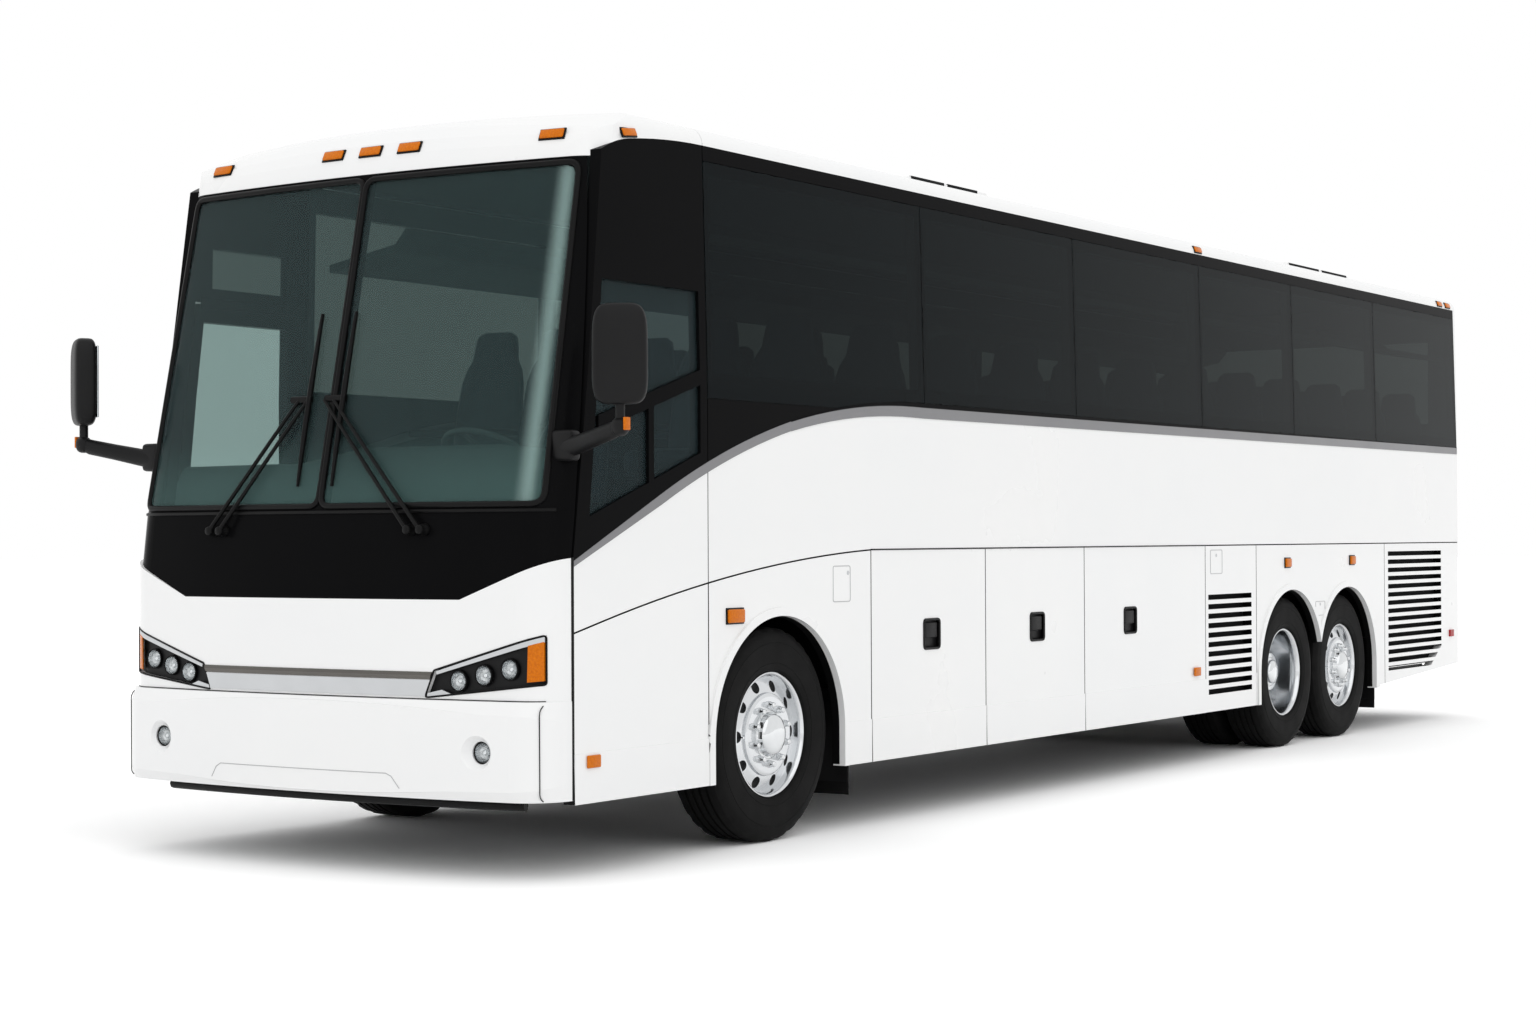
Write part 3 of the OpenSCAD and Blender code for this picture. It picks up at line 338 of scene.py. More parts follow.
# %% [markdown]
# ## Camera, floor and light
# The camera stands where the photograph was taken: its place and lens come from fitting the axles,
# posts and seams to their pixels. A white dome and one broad soft sun from the front left give even
# studio light. Floor and dome are white where they are seen or mirrored, and the floor keeps the shadow.

# %% Camera
camera_data = bpy.data.cameras.new("camera")
camera_data.lens = 60.206
camera_data.sensor_width = 36.0
camera_data.clip_end = 400.0
camera = bpy.data.objects.new("camera", camera_data)
bpy.context.scene.collection.objects.link(camera)
camera_right = Vector((-0.547473, 0.836812, -0.004400))
camera_up = Vector((0.005853, 0.009087, 0.999942))
camera_back = camera_right.cross(camera_up).normalized()
turn = Matrix((camera_right, camera_up, camera_back)).transposed()
camera.matrix_world = Matrix.Translation((14.617, 8.079, 1.481)) @ turn.to_4x4()
bpy.context.scene.camera = camera
print("camera at", [round(v, 3) for v in camera.location], "lens", camera_data.lens)

# %% Floor, dome and soft sun
floor_mesh = bpy.data.meshes.new("studio_floor")
reach = 150.0
floor_corners = [(-reach, -reach, 0), (reach, -reach, 0), (reach, reach, 0), (-reach, reach, 0)]
floor_mesh.from_pydata(floor_corners, [], [(0, 1, 2, 3)])
studio_floor = bpy.data.objects.new("studio_floor", floor_mesh)
bpy.context.scene.collection.objects.link(studio_floor)


def when_seen(tree, hidden, shown):
    """A number that is shown for rays that see the stage straight or in a mirror, else hidden."""
    path = add(tree, "ShaderNodeLightPath").outputs
    straight = add(tree, "ShaderNodeMath", {0: path["Is Camera Ray"], 1: path["Is Glossy Ray"]},
                   operation="MAXIMUM")
    seen = add(tree, "ShaderNodeMath", {0: straight.outputs[0], 1: path["Is Transmission Ray"]},
               operation="MAXIMUM")
    level = add(tree, "ShaderNodeMapRange", {"Value": seen.outputs[0], "To Min": hidden, "To Max": shown})
    return level.outputs["Result"]


floor_paint = bpy.data.materials.new("studio_floor_paint")
floor_paint.use_nodes = True
paint = floor_paint.node_tree
matt = add(paint, "ShaderNodeBsdfDiffuse", {"Color": when_seen(paint, 0.9, 1.2)})
paint.links.new(matt.outputs["BSDF"], paint.nodes["Material Output"].inputs["Surface"])
floor_mesh.materials.append(floor_paint)

world = bpy.data.worlds.new("studio_dome")
bpy.context.scene.world = world
world.use_nodes = True
sky = world.node_tree
dome = sky.nodes["Background"]
dome.inputs["Color"].default_value = linear("#ffffff")
sky.links.new(when_seen(sky, 0.95, 1.0), dome.inputs["Strength"])

sun_data = bpy.data.lights.new("soft_sun", "SUN")
sun_data.angle = math.radians(70)
sun_data.energy = 0.35
sun = bpy.data.objects.new("soft_sun", sun_data)
sun.rotation_euler = Vector((-0.5, -0.5, -0.7)).to_track_quat("-Z", "Y").to_euler()
bpy.context.scene.collection.objects.link(sun)
bpy.context.scene.view_settings.view_transform = "Standard"
print("floor reaches", reach, "m; sun strength", round(sun_data.energy, 2))

# %% [markdown]
# ## Helpers that make meshes
# Three ways of making a mesh cover nearly everything on a coach. A lathe turns a profile about an
# axle: tyres, wheels, lamps. A sweep carries a round section along a path: seals, arms, rods.
# A soft block is a box whose edges are rounded: lamps, handles, brackets.

# %% Shapes and pieces


def shape(name, points, faces, sharp=35):
    """A mesh from points and faces, welded, with normals outward and edges over that angle sharp."""
    mesh = bpy.data.meshes.new(name)
    mesh.from_pydata([tuple(p) for p in points], [], faces)
    work = bmesh.new()
    work.from_mesh(mesh)
    bmesh.ops.remove_doubles(work, verts=work.verts, dist=0.00005)
    bmesh.ops.dissolve_degenerate(work, edges=work.edges, dist=0.00002)
    bmesh.ops.recalc_face_normals(work, faces=work.faces)
    work.to_mesh(mesh)
    work.free()
    mesh.shade_smooth()
    mesh.set_sharp_from_angle(angle=math.radians(sharp))
    return mesh


def piece(name, mesh, finish, body, place=None):
    """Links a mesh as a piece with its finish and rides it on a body."""
    made = bpy.data.objects.new(name, mesh)
    bpy.context.scene.collection.objects.link(made)
    if not mesh.materials:
        mesh.materials.append(finish)
    if place is not None:
        made.matrix_world = place
    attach(made, body)
    return made


def dress(name, parts, finish, body="coach", sharp=35):
    """A piece made once from points and faces, in place; its mesh bears its name."""
    return piece(name, shape(name, *parts, sharp), finish, body)


# %% Turned, swept and lofted parts


def quads(rings, count, closed=False):
    """Faces between successive rings of count points; closed joins the last ring to the first."""
    faces = []
    for i in range(rings if closed else rings - 1):
        here, there = i * count, (i + 1) % rings * count
        for k in range(count):
            j = (k + 1) % count
            faces.append((here + k, here + j, there + j, there + k))
    return faces


def end_caps(rings, count):
    """Faces that close the first and the last of the rings."""
    return [tuple(reversed(range(count))), tuple(range((rings - 1) * count, rings * count))]


def turned(profile, steps, closed=False):
    """Points and faces of a profile of (radius, height) turned about the Y axis."""
    count = len(profile)
    points = []
    for k in range(steps):
        a = 2 * math.pi * k / steps
        points += [(r * math.cos(a), h, r * math.sin(a)) for r, h in profile]
    faces = []
    for k in range(steps):
        here, there = k * count, (k + 1) % steps * count
        for i in range(count if closed else count - 1):
            j = (i + 1) % count
            faces.append((here + i, here + j, there + j, there + i))
    return points, faces


def moved(parts, place):
    """The same points and faces, carried by a matrix."""
    return [place @ Vector(p) for p in parts[0]], parts[1]


def joined(*parts):
    """Several sets of points and faces as one."""
    points, faces = [], []
    for some_points, some_faces in parts:
        start = len(points)
        points += [tuple(p) for p in some_points]
        faces += [tuple(i + start for i in face) for face in some_faces]
    return points, faces


def swept(path, radius, sides=10, closed=False, flat=1.0):
    """A round section along a path of points; flat squeezes it, and radius may change along the way."""
    path = [Vector(p) for p in path]
    count = len(path)
    radii = radius if isinstance(radius, (list, tuple)) else [radius] * count
    points = []
    side = None
    for i, p in enumerate(path):
        before = path[i - 1] if i or closed else path[0]
        after = path[(i + 1) % count] if i < count - 1 or closed else path[-1]
        ahead = (after - before).normalized()
        if side is None:
            side = ahead.cross(Vector((0, 0, 1)) if abs(ahead.z) < 0.9 else Vector((1, 0, 0)))
        side = (side - ahead * side.dot(ahead)).normalized()
        other = ahead.cross(side)
        for k in range(sides):
            a = 2 * math.pi * k / sides
            points.append(p + (side * math.cos(a) + other * math.sin(a) * flat) * radii[i])
    faces = quads(count, sides, closed)
    if not closed:
        faces += end_caps(count, sides)
    return points, faces


def lofted(rings):
    """Points and faces through rings of equal length, closed at both ends."""
    count = len(rings[0])
    points = [p for ring in rings for p in ring]
    return points, quads(len(rings), count) + end_caps(len(rings), count)


def ribbon(path, other, y0, y1):
    """Points and faces of a strip between two (x, z) paths of equal length, from y0 to y1."""
    return lofted([[(ax, y0, az), (ax, y1, az), (bx, y1, bz), (bx, y0, bz)]
                   for (ax, az), (bx, bz) in zip(path, other)])


# %% Soft blocks


def soft_block(low, high, radius, rings=3):
    """Points and faces of a box between two corners with rounded edges."""
    work = bmesh.new()
    bmesh.ops.create_cube(work, size=1.0)
    low, high = Vector(low), Vector(high)
    for v in work.verts:
        v.co = Vector([low[k] + (v.co[k] + 0.5) * (high[k] - low[k]) for k in range(3)])
    bmesh.ops.bevel(work, geom=work.edges[:], offset=radius, segments=rings, profile=0.5, affect="EDGES")
    work.verts.index_update()
    points = [v.co.copy() for v in work.verts]
    faces = [tuple(v.index for v in face.verts) for face in work.faces]
    work.free()
    return points, faces


def side_block(s, low, high, radius, rings=3):
    """A soft block on the left (s is 1) or the right (s is -1), with its corners given for the left."""
    y0, y1 = sorted((s * low[1], s * high[1]))
    return soft_block((low[0], y0, low[2]), (high[0], y1, high[2]), radius, rings)


print("a soft block has", len(soft_block((0, 0, 0), (1, 1, 1), 0.1)[1]), "faces")

# %% [markdown]
# ## Tyres
# A coach tyre has a plain crowned tread with four grooves and notched shoulders, and sidewalls with
# raised rings at the bead and the shoulder. It could be sculpted, but every section of it is the
# same, so one profile is turned; the shoulder points sink at each notch.

# %% Tyre mesh
tyre_low, tyre_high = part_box("tyre_fl")
TYRE_R = (tyre_high.z - tyre_low.z) / 2
TYRE_W = (tyre_high.y - tyre_low.y)
GROOVE_W, GROOVE_DEEP, GROOVES_AT = 11 * MM, 12 * MM, (0.44, 0.145)
NOTCH_DEEP, NOTCH_EVERY = 7 * MM, 4
DRAWN_HALF = 0.145


def tyre_parts(steps=120):
    """A tyre about the Y axis with its middle at the origin."""
    half = TYRE_W / 2
    wall = [(288, 104), (305, 109), (309, 124), (317, 134), (330, 139), (344, 141.4), (347, 139.5),
            (350, 142), (385, 144.3), (420, 145), (444, 144), (447, 141.5), (450, 143), (472, 139.5),
            (488, 135), (494, 130), (500, 128), (509, 120)]
    side = [(r * MM, h * MM / DRAWN_HALF * half) for r, h in wall]
    shoulder = [(TYRE_R - 4 * MM, half * 0.78), (TYRE_R - 1.5 * MM, half * 0.73)]
    tread = []
    for middle in GROOVES_AT:
        centre = middle * half
        for offset, drop in ((0.7, 0.0), (0.5, 1.0), (-0.5, 1.0), (-0.7, 0.0)):
            tread.append((TYRE_R - drop * GROOVE_DEEP, centre + offset * GROOVE_W))
    right = side + shoulder + tread
    profile = right + [(r, -h) for r, h in reversed(right)]
    notched = {len(side), len(side) + 1, len(side) - 1}
    notched |= {len(profile) - 1 - i for i in notched}
    points, faces = turned(profile, steps, closed=True)
    count = len(profile)
    sunk = []
    for i, (x, y, z) in enumerate(points):
        deep = i % count in notched and (i // count) % NOTCH_EVERY == 0
        shrink = 1 - NOTCH_DEEP / TYRE_R if deep else 1.0
        sunk.append((x * shrink, y, z * shrink))
    return sunk, faces


one_tyre = tyre_parts()
print("tyre: radius", round(TYRE_R, 3), "width", round(TYRE_W, 3), "faces", len(one_tyre[1]))

# %% [markdown]
# ## Wheels
# The discs are forged: a crowned ring with ten round hand holes, a raised land for the nuts, and a
# bright cap over the hub. Holes cut by a boolean leave ragged shading, so each tenth of the ring is
# drawn as loops that go from the hole's circle out to the edges of its sector.

# %% Wheel disc


def holed_ring(height, inner, outer, holes, hole_r, hole_at, deep, loops=4, per_side=10):
    """A ring about Y between two radii, at height(r), with round holes whose walls go in by deep."""
    half = math.pi / holes
    edge = [(inner, half * (2 * k / per_side - 1)) for k in range(per_side)]
    edge += [(inner + (outer - inner) * k / per_side, half) for k in range(per_side)]
    edge += [(outer, half * (1 - 2 * k / per_side)) for k in range(per_side)]
    edge += [(outer + (inner - outer) * k / per_side, -half) for k in range(per_side)]
    count = len(edge)
    points, faces = [], []
    for h in range(holes):
        turn_by = 2 * half * h
        start = len(points)
        for loop in range(-1, loops + 1):
            for r, a in edge:
                out = Vector((r * math.cos(a) - hole_at, r * math.sin(a)))
                rim = out.normalized() * hole_r
                spot = rim.lerp(out, max(loop, 0) / loops)
                x, z = spot.x + hole_at, spot.y
                y = height(math.hypot(x, z)) - (deep if loop < 0 else 0)
                points.append((x * math.cos(turn_by) - z * math.sin(turn_by), y,
                               x * math.sin(turn_by) + z * math.cos(turn_by)))
        faces += [tuple(start + i for i in face) for face in quads(loops + 2, count)]
    return points, faces


HOLES, HOLE_R, HOLE_DEEP = 10, 0.0285, 0.03
SINGLE_HOLES_AT, TWIN_HOLES_AT = 0.241, 0.222
STEPS = HOLES * 10


def slope(points):
    """A function that reads heights between (radius, height) points."""
    def height(r):
        for (r0, h0), (r1, h1) in zip(points, points[1:]):
            if r <= r1:
                return h0 + (h1 - h0) * max(0.0, min(1.0, (r - r0) / (r1 - r0)))
        return points[-1][1]
    return height


def mm_profile(pairs):
    """Pairs of radius and height, given in millimetres, in metres."""
    return [(r * MM, h * MM) for r, h in pairs]


flange = [(278, 72), (281, 78), (283, 96), (286, 112), (292, 122), (298, 126), (303, 124), (305, 117),
          (300, 112), (289, 108), (287, 100), (287, -100), (304, -112), (304, -125), (292, -125),
          (270, -100), (270, 40), (250, 54), (150, 78)]
single_face = slope(mm_profile([(204, 96), (222, 93), (278, 72)]))
single_hub = [(0, 100), (118, 100), (120, 112), (182, 115), (192, 114), (200, 109), (204, 96)]
single_wheel = joined(holed_ring(single_face, 0.204, 0.278, HOLES, HOLE_R, SINGLE_HOLES_AT, HOLE_DEEP),
                      turned(mm_profile(flange), STEPS), turned(mm_profile(single_hub), STEPS))
land = [(0, 30), (128, 24), (131, 20), (131, -128), (136, -132), (176, -133), (182, -138)]
dish = [(262, -118), (272, -104), (277, -84), (279, 60), (281, 96), (286, 112), (292, 122), (298, 126),
        (303, 124), (305, 117), (300, 112), (289, 108), (287, 100), (287, -455), (262, -455), (262, -160),
        (182, -170)]
dish_face = slope(mm_profile([(182, -138), (262, -118)]))
twin_wheel = joined(holed_ring(dish_face, 0.182, 0.262, HOLES, HOLE_R, TWIN_HOLES_AT, HOLE_DEEP),
                    turned(mm_profile(dish), STEPS), turned(mm_profile(land), STEPS))


def painted_hole_shade(circle, height):
    """Dark discs of painted shade at the bottom of the hand holes, where only the brake's shade shows."""
    discs = []
    for k in range(HOLES):
        a = 2 * math.pi * k / HOLES
        place = Matrix.Translation((circle * math.cos(a), height, circle * math.sin(a)))
        discs.append(moved(turned([(0.0, 0.003), (HOLE_R, 0.003), (HOLE_R, 0.0)], 24), place))
    return joined(*discs)


print("wheel faces:", len(single_wheel[1]), len(twin_wheel[1]))

# %% Nuts, hub caps and valve
NUTS, NUT_CIRCLE, DRIVE_NUT_CIRCLE = 10, 143 * MM, 156 * MM
nut_profile = [(0.0, 40), (7, 39.4), (12, 36.5), (14.2, 32), (14.6, 20), (17.4, 15), (19, 6), (20, 0)]


def nut_ring(at_height, circle):
    """Ten capped wheel nuts standing on the wheel's land."""
    nuts = []
    for k in range(NUTS):
        a = 2 * math.pi * (k + 0.5) / NUTS
        place = Matrix.Translation((circle * math.cos(a), at_height, circle * math.sin(a)))
        nuts.append(moved(turned(mm_profile(nut_profile), 12), place))
    return joined(*nuts)


hub_cap = [(0, 170), (40, 169), (66, 165), (86, 158), (97, 150), (102, 140), (104, 118), (108, 113),
           (118, 112)]
drive_hub = [(0, 62), (40, 61), (70, 57), (80, 50), (83, 40), (83, 30), (100, 29), (104, 26), (104, 20)]
valve_path = [(0.236, 0.086, 0.0), (0.236, 0.104, 0.0), (0.244, 0.124, 0.0), (0.247, 0.132, 0.0)]
front_dress = joined(nut_ring(0.1125, NUT_CIRCLE), turned(mm_profile(hub_cap), 64),
                     swept(valve_path, 0.0045, 8))
drive_dress = joined(nut_ring(-0.133, DRIVE_NUT_CIRCLE), turned(mm_profile(drive_hub), 64))
drum = [(0, -60), (130, -62), (200, -58), (206, -62), (206, -150), (200, -158), (0, -158)]
wheel_meshes = {
    "single": (shape("forged_wheel", *single_wheel, 30), shape("wheel_nuts_and_cap", *front_dress, 40),
               shape("painted_hole_shade", *painted_hole_shade(SINGLE_HOLES_AT, 0.068), 30)),
    "twin": (shape("forged_twin_wheel", *twin_wheel, 30), shape("twin_nuts_and_hub", *drive_dress, 40),
             shape("twin_painted_hole_shade", *painted_hole_shade(TWIN_HOLES_AT, -0.142), 30))}
print("nuts per wheel:", NUTS, "on a circle of", NUT_CIRCLE * 2, "m")

# %% [markdown]
# Each wheel's pieces are drawn with the outer face towards +Y, about their own origin, so turning
# marks follow the axle. On the right side they turn half round about the upright axis.

# %% Wheels on their axles
tyre_mesh = shape("tyre_with_tread", *one_tyre, 30)
drum_mesh = shape("brake_drum", *turned(mm_profile(drum), 48), 30)
WHEEL_TAGS = ("fl", "fr", "dl", "dr", "tl", "tr")
for tag in WHEEL_TAGS:
    low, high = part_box("tyre_" + tag)
    left = (low.y + high.y) > 0
    body = "wheel_" + tag
    outer_y = (high.y - TYRE_W / 2) if left else (low.y + TYRE_W / 2)
    inner_y = (low.y + TYRE_W / 2) if left else (high.y - TYRE_W / 2)
    spin = Matrix.Identity(4) if left else Matrix.Rotation(math.pi, 4, "Z")
    hub = Matrix.Translation(((low.x + high.x) / 2, outer_y, (low.z + high.z) / 2)) @ spin
    kind = "twin" if tag[0] == "d" else "single"
    mount = piece("wheel_disc_" + tag, wheel_meshes[kind][0], wheel_aluminium, body, hub)
    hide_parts("rim_" + tag)
    piece("wheel_nuts_" + tag, wheel_meshes[kind][1], chrome_plate, body, hub)
    # dark discs of painted shade at the bottom of the hand holes
    piece("painted_hole_shade_" + tag, wheel_meshes[kind][2], rubber_and_painted_shade, body, hub)
    outer_tyre = piece("tyre_outer_" + tag, tyre_mesh, tyre_rubber, body, hub)
    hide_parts("tyre_" + tag)
    if kind == "twin":
        inner_hub = Matrix.Translation((hub.translation.x, inner_y, hub.translation.z)) @ spin
        piece("tyre_inner_" + tag, tyre_mesh, tyre_rubber, body, inner_hub)
    else:
        piece("brake_drum_" + tag, drum_mesh, cast_iron, body, hub)
print("wheels dressed:", len(WHEEL_TAGS))

# %% [markdown]
# ## Following the curved front
# The front of the coach is bowed in plan: a very large arc with rounded corners. Seals, lamps and
# mouldings lie on that bow, so one function gives the place of a point at a width y and a height z
# on any of its leaning faces, raised by a given lift.

# %% The bowed front
FRONT_R, CORNER_R = 8.5, 0.2
NOSE_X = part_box("front_bumper")[1].x
CORNER_Y = HALF_W - CORNER_R
CORNER_X = math.sqrt((FRONT_R - CORNER_R) ** 2 - CORNER_Y ** 2) - FRONT_R
TANGENT_Y = CORNER_Y * FRONT_R / (FRONT_R - CORNER_R)
# each face: nose x at the middle, height of that nose, lean in degrees
SCREEN_FACE = (5.992, 1.601, 12.0)
PANEL_FACE = (6.042, 0.900, 0.0)
BUMPER_FACE = (NOSE_X, 0.500, 0.0)
MASK_FACE = (5.992, 1.601, math.degrees(math.atan(0.050 / 0.386)))


def bow(y, lift=0.0):
    """How far the front lies from its nose at width y, in plan."""
    y = abs(y)
    if y <= TANGENT_Y:
        return math.sqrt((FRONT_R + lift) ** 2 - y * y) - FRONT_R
    return CORNER_X + math.sqrt(max(0.0, (CORNER_R + lift) ** 2 - (y - CORNER_Y) ** 2))


def on_front(face, y, z, lift=0.0):
    """The point of a front face at width y and height z."""
    nose, foot, lean = face
    a = math.radians(lean)
    return Vector((nose + bow(y, lift) / math.cos(a) - (z - foot) * math.tan(a), y, z))


def rounded_outline(corners, radius, bend=6):
    """A closed outline through the corners, each turned with an arc of that radius."""
    corners = [Vector(c) for c in corners]
    outline = []
    for i, c in enumerate(corners):
        back = (corners[i - 1] - c).normalized()
        ahead = (corners[(i + 1) % len(corners)] - c).normalized()
        reach = radius / math.tan(back.angle(ahead) / 2)
        start, end = c + back * reach, c + ahead * reach
        for k in range(bend + 1):
            t = k / bend
            outline.append((start * (1 - t) + c * t) * (1 - t) + (c * (1 - t) + end * t) * t)
    return outline


def finer(outline, step):
    """The same closed outline with points no further apart than step."""
    fine = []
    for a, b in zip(outline, outline[1:] + outline[:1]):
        count = max(1, math.ceil((b - a).length / step))
        fine += [a.lerp(b, k / count) for k in range(count)]
    return fine


print("front: corner centre", round(CORNER_X, 3), round(CORNER_Y, 3))

# %% [markdown]
# ## Windscreen seals
# Two panes sit in thick rubber. A seal is one closed sweep along the pane's outline, carried onto the
# leaning, bowed face. At the centre post the two seals meet as one rib, and a strip lies under both.

# %% Windscreen seals
SIDES = (("left", 1), ("right", -1))
SEAL_R, SEAL_BEND = 0.015, 0.055
pane_corners = [(0.007, 1.630), (1.206, 1.630), (1.176, 3.148), (0.007, 3.148)]
for side_name, s in SIDES:
    outline = finer(rounded_outline([(s * y, z) for y, z in pane_corners], SEAL_BEND), 0.08)
    path = [on_front(SCREEN_FACE, p.x, p.y, 0.0) for p in outline]
    seal = swept(path, SEAL_R, 10, closed=True)
    dress("screen_seal_" + side_name, seal, rubber_and_painted_shade, sharp=60)
lower_seal = [on_front(SCREEN_FACE, y / 20 * 1.25, 1.604, 0.002) for y in range(-20, 21)]
dress("screen_foot_seal", swept(lower_seal, 0.009, 8), rubber_and_painted_shade)
print("windscreen seals: two panes and the foot")

# %% [markdown]
# ## Bright bar
# Between the headlamps runs a two-part moulding: a half-round strip of dark polished metal on top and
# a flat band of satin aluminium below. Each is a strip of small faces laid along the bow.

# %% Bright bar


def front_strip(face, top, foot, lift, width_steps=48, crown=0.0, rows=6):
    """Points and faces of a strip between a top and a foot edge, each given by two (y, z) ends."""
    (y0, z0), (y1, z1) = top
    (y2, z2), (y3, z3) = foot
    rings = []
    for i in range(width_steps + 1):
        t = i / width_steps
        ring = []
        for k in range(rows + 1):
            u = k / rows
            y = (y2 + (y3 - y2) * t) * (1 - u) + (y0 + (y1 - y0) * t) * u
            z = (z2 + (z3 - z2) * t) * (1 - u) + (z0 + (z1 - z0) * t) * u
            ring.append(on_front(face, y, z, lift + crown * math.sin(math.pi * u)))
        rings.append(ring + [on_front(face, p.y, p.z) for p in (ring[-1], ring[0])])
    return lofted(rings)


def level_strip(top_half, top_z, foot_half, foot_z, lift, crown=0.0):
    """A strip across the middle of the front panel, alike on both sides."""
    top = (-top_half, top_z), (top_half, top_z)
    foot = (-foot_half, foot_z), (foot_half, foot_z)
    return front_strip(PANEL_FACE, top, foot, lift, crown=crown)


BAR_HALF = 0.694
smoked_chrome = surface("smoked_chrome", "#6d6a66", "#5a5855", 300, (0.08, 0.16), 20, 0.01, Metallic=1.0)
upper_strip = level_strip(BAR_HALF, 0.899, 0.684, 0.866, 0.003, crown=0.006)
lower_strip = level_strip(0.682, 0.864, 0.655, 0.792, 0.004)
bar = dress("bright_bar_strip", upper_strip, smoked_chrome)
dress("bright_bar_band", lower_strip, satin_aluminium)
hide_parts("bright_bar")
print("bright bar between", -BAR_HALF, "and", BAR_HALF)

# %% [markdown]
# ## Headlamps
# Each headlamp is a black tray with three round lamps, a bright upper lip, an inner lower corner in
# silver, and an amber turn lamp at its outer end. A lamp is turned: a black ring, a bowl plated with
# aluminium vapour whose colour is mottled from bright to dark as a painted reflection, a bright core and a
# domed glass.

# %% Lamp units
FORWARD = Matrix.Rotation(math.radians(-90), 4, "Z")


def lamp_unit(place, radius):
    """Ring, bowl, core and dome of a round lamp facing forward at a place, as sets of points and faces."""
    profiles = {"ring": [(0.97, -8), (0.99, 4), (1.06, 7), (1.14, 4), (1.16, -10)],
                "bowl": [(0.34, -30), (0.62, -27), (0.84, -17), (0.95, -4), (0.98, 2)],
                "core": [(0, -5), (0.15, -6), (0.27, -11), (0.34, -20), (0.34, -30)],
                "dome": [(0, 12), (0.4, 10.5), (0.7, 6.5), (0.9, 1), (0.97, -4)]}
    return {key: moved(turned([(r * radius, h * MM) for r, h in row], 40),
                       Matrix.Translation(place) @ FORWARD)
            for key, row in profiles.items()}


# the bowl's colour drifts from bright to dark grey as a painted reflection
bowl_painted_reflection = surface("plated_bowl_painted_reflection", "#eceeef", "#5d6164", 20, (0.1, 0.2), 9, 0.4, Metallic=1.0)
lamp_finishes = {"ring": (rubber_and_painted_shade, "trim_black"), "bowl": (bowl_painted_reflection, "chrome"),
                 "core": (chrome_plate, "chrome"), "dome": (clear_lens, "lamp_clear")}
projectors = [(0.822, 0.861), (0.952, 0.888), (1.083, 0.916)]
PROJECTOR_R, PROJECTOR_LIFT = 0.042, -0.012
FOG_Y, FOG_Z, FOG_R, FOG_LIFT = 0.968, 0.556, 0.043, -0.036
tray_corners = [(0.652, 0.786), (0.702, 0.906), (1.242, 1.065), (1.242, 0.852)]
for side_name, s in SIDES:
    units = [lamp_unit(on_front(PANEL_FACE, s * y, z, PROJECTOR_LIFT), PROJECTOR_R) for y, z in projectors]
    units.append(lamp_unit(on_front(BUMPER_FACE, s * FOG_Y, FOG_Z, FOG_LIFT), FOG_R))
    for key, (finish, slot_name) in lamp_finishes.items():
        name = "lamp_" + key + "s_" + side_name
        made = dress(name, joined(*[unit[key] for unit in units]), finish, sharp=40)
        if name == "lamp_bowls_left":
            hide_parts("lamp_lenses")
    outline = finer(rounded_outline([(s * y, z) for y, z in tray_corners], 0.012), 0.05)
    rim = swept([on_front(PANEL_FACE, p.x, p.y, 0.001) for p in outline], 0.0045, 6, closed=True)
    dress("headlamp_seal_" + side_name, rim, rubber_and_painted_shade)
    lip = front_strip(PANEL_FACE, ((s * 0.712, 0.902), (s * 1.236, 1.058)),
                      ((s * 0.716, 0.888), (s * 1.236, 1.034)), -0.004, 24)
    silver = front_strip(PANEL_FACE, ((s * 0.668, 0.806), (s * 0.742, 0.822)),
                         ((s * 0.662, 0.790), (s * 0.790, 0.805)), -0.006, 8)
    dress("headlamp_lip_" + side_name, joined(lip, silver), satin_aluminium)
print("lamp units:", 2 * len(projectors) + 2)

# %% [markdown]
# ## Mirrors
# A mirror head is a moulded shell, square with very soft corners. A cube with bevels looks cut, so
# the head is a squared ball: a sphere whose coordinates are raised to a power. Its glass looks back.

# %% Mirror heads and arms


def power(value, exponent):
    """A power of a number's size that keeps its sign."""
    return math.copysign(abs(value) ** exponent, value)


def squared_ball(half, squareness=0.5, around=40, along=26, taper=0.0):
    """A ball of the given half sizes whose sides are flattened; taper narrows its top."""
    points = []
    for i in range(along + 1):
        u = math.pi * (i / along - 0.5)
        for k in range(around):
            v = 2 * math.pi * k / around
            wide = power(math.cos(u), squareness)
            lean = 1 - taper * (math.sin(u) + 1) / 2
            points.append((half[0] * wide * power(math.cos(v), squareness),
                           half[1] * wide * power(math.sin(v), squareness) * lean,
                           half[2] * power(math.sin(u), squareness)))
    return points, quads(along + 1, around)


mirror_silver = surface("mirror_silver", "#c9ced1", "#c3c8cc", 300, (0.02, 0.04), 200, 0.0, Metallic=1.0)
HEAD_X, HEAD_Y, HEAD_Z, HEAD_TURN = 5.902, 1.635, 2.258, 35
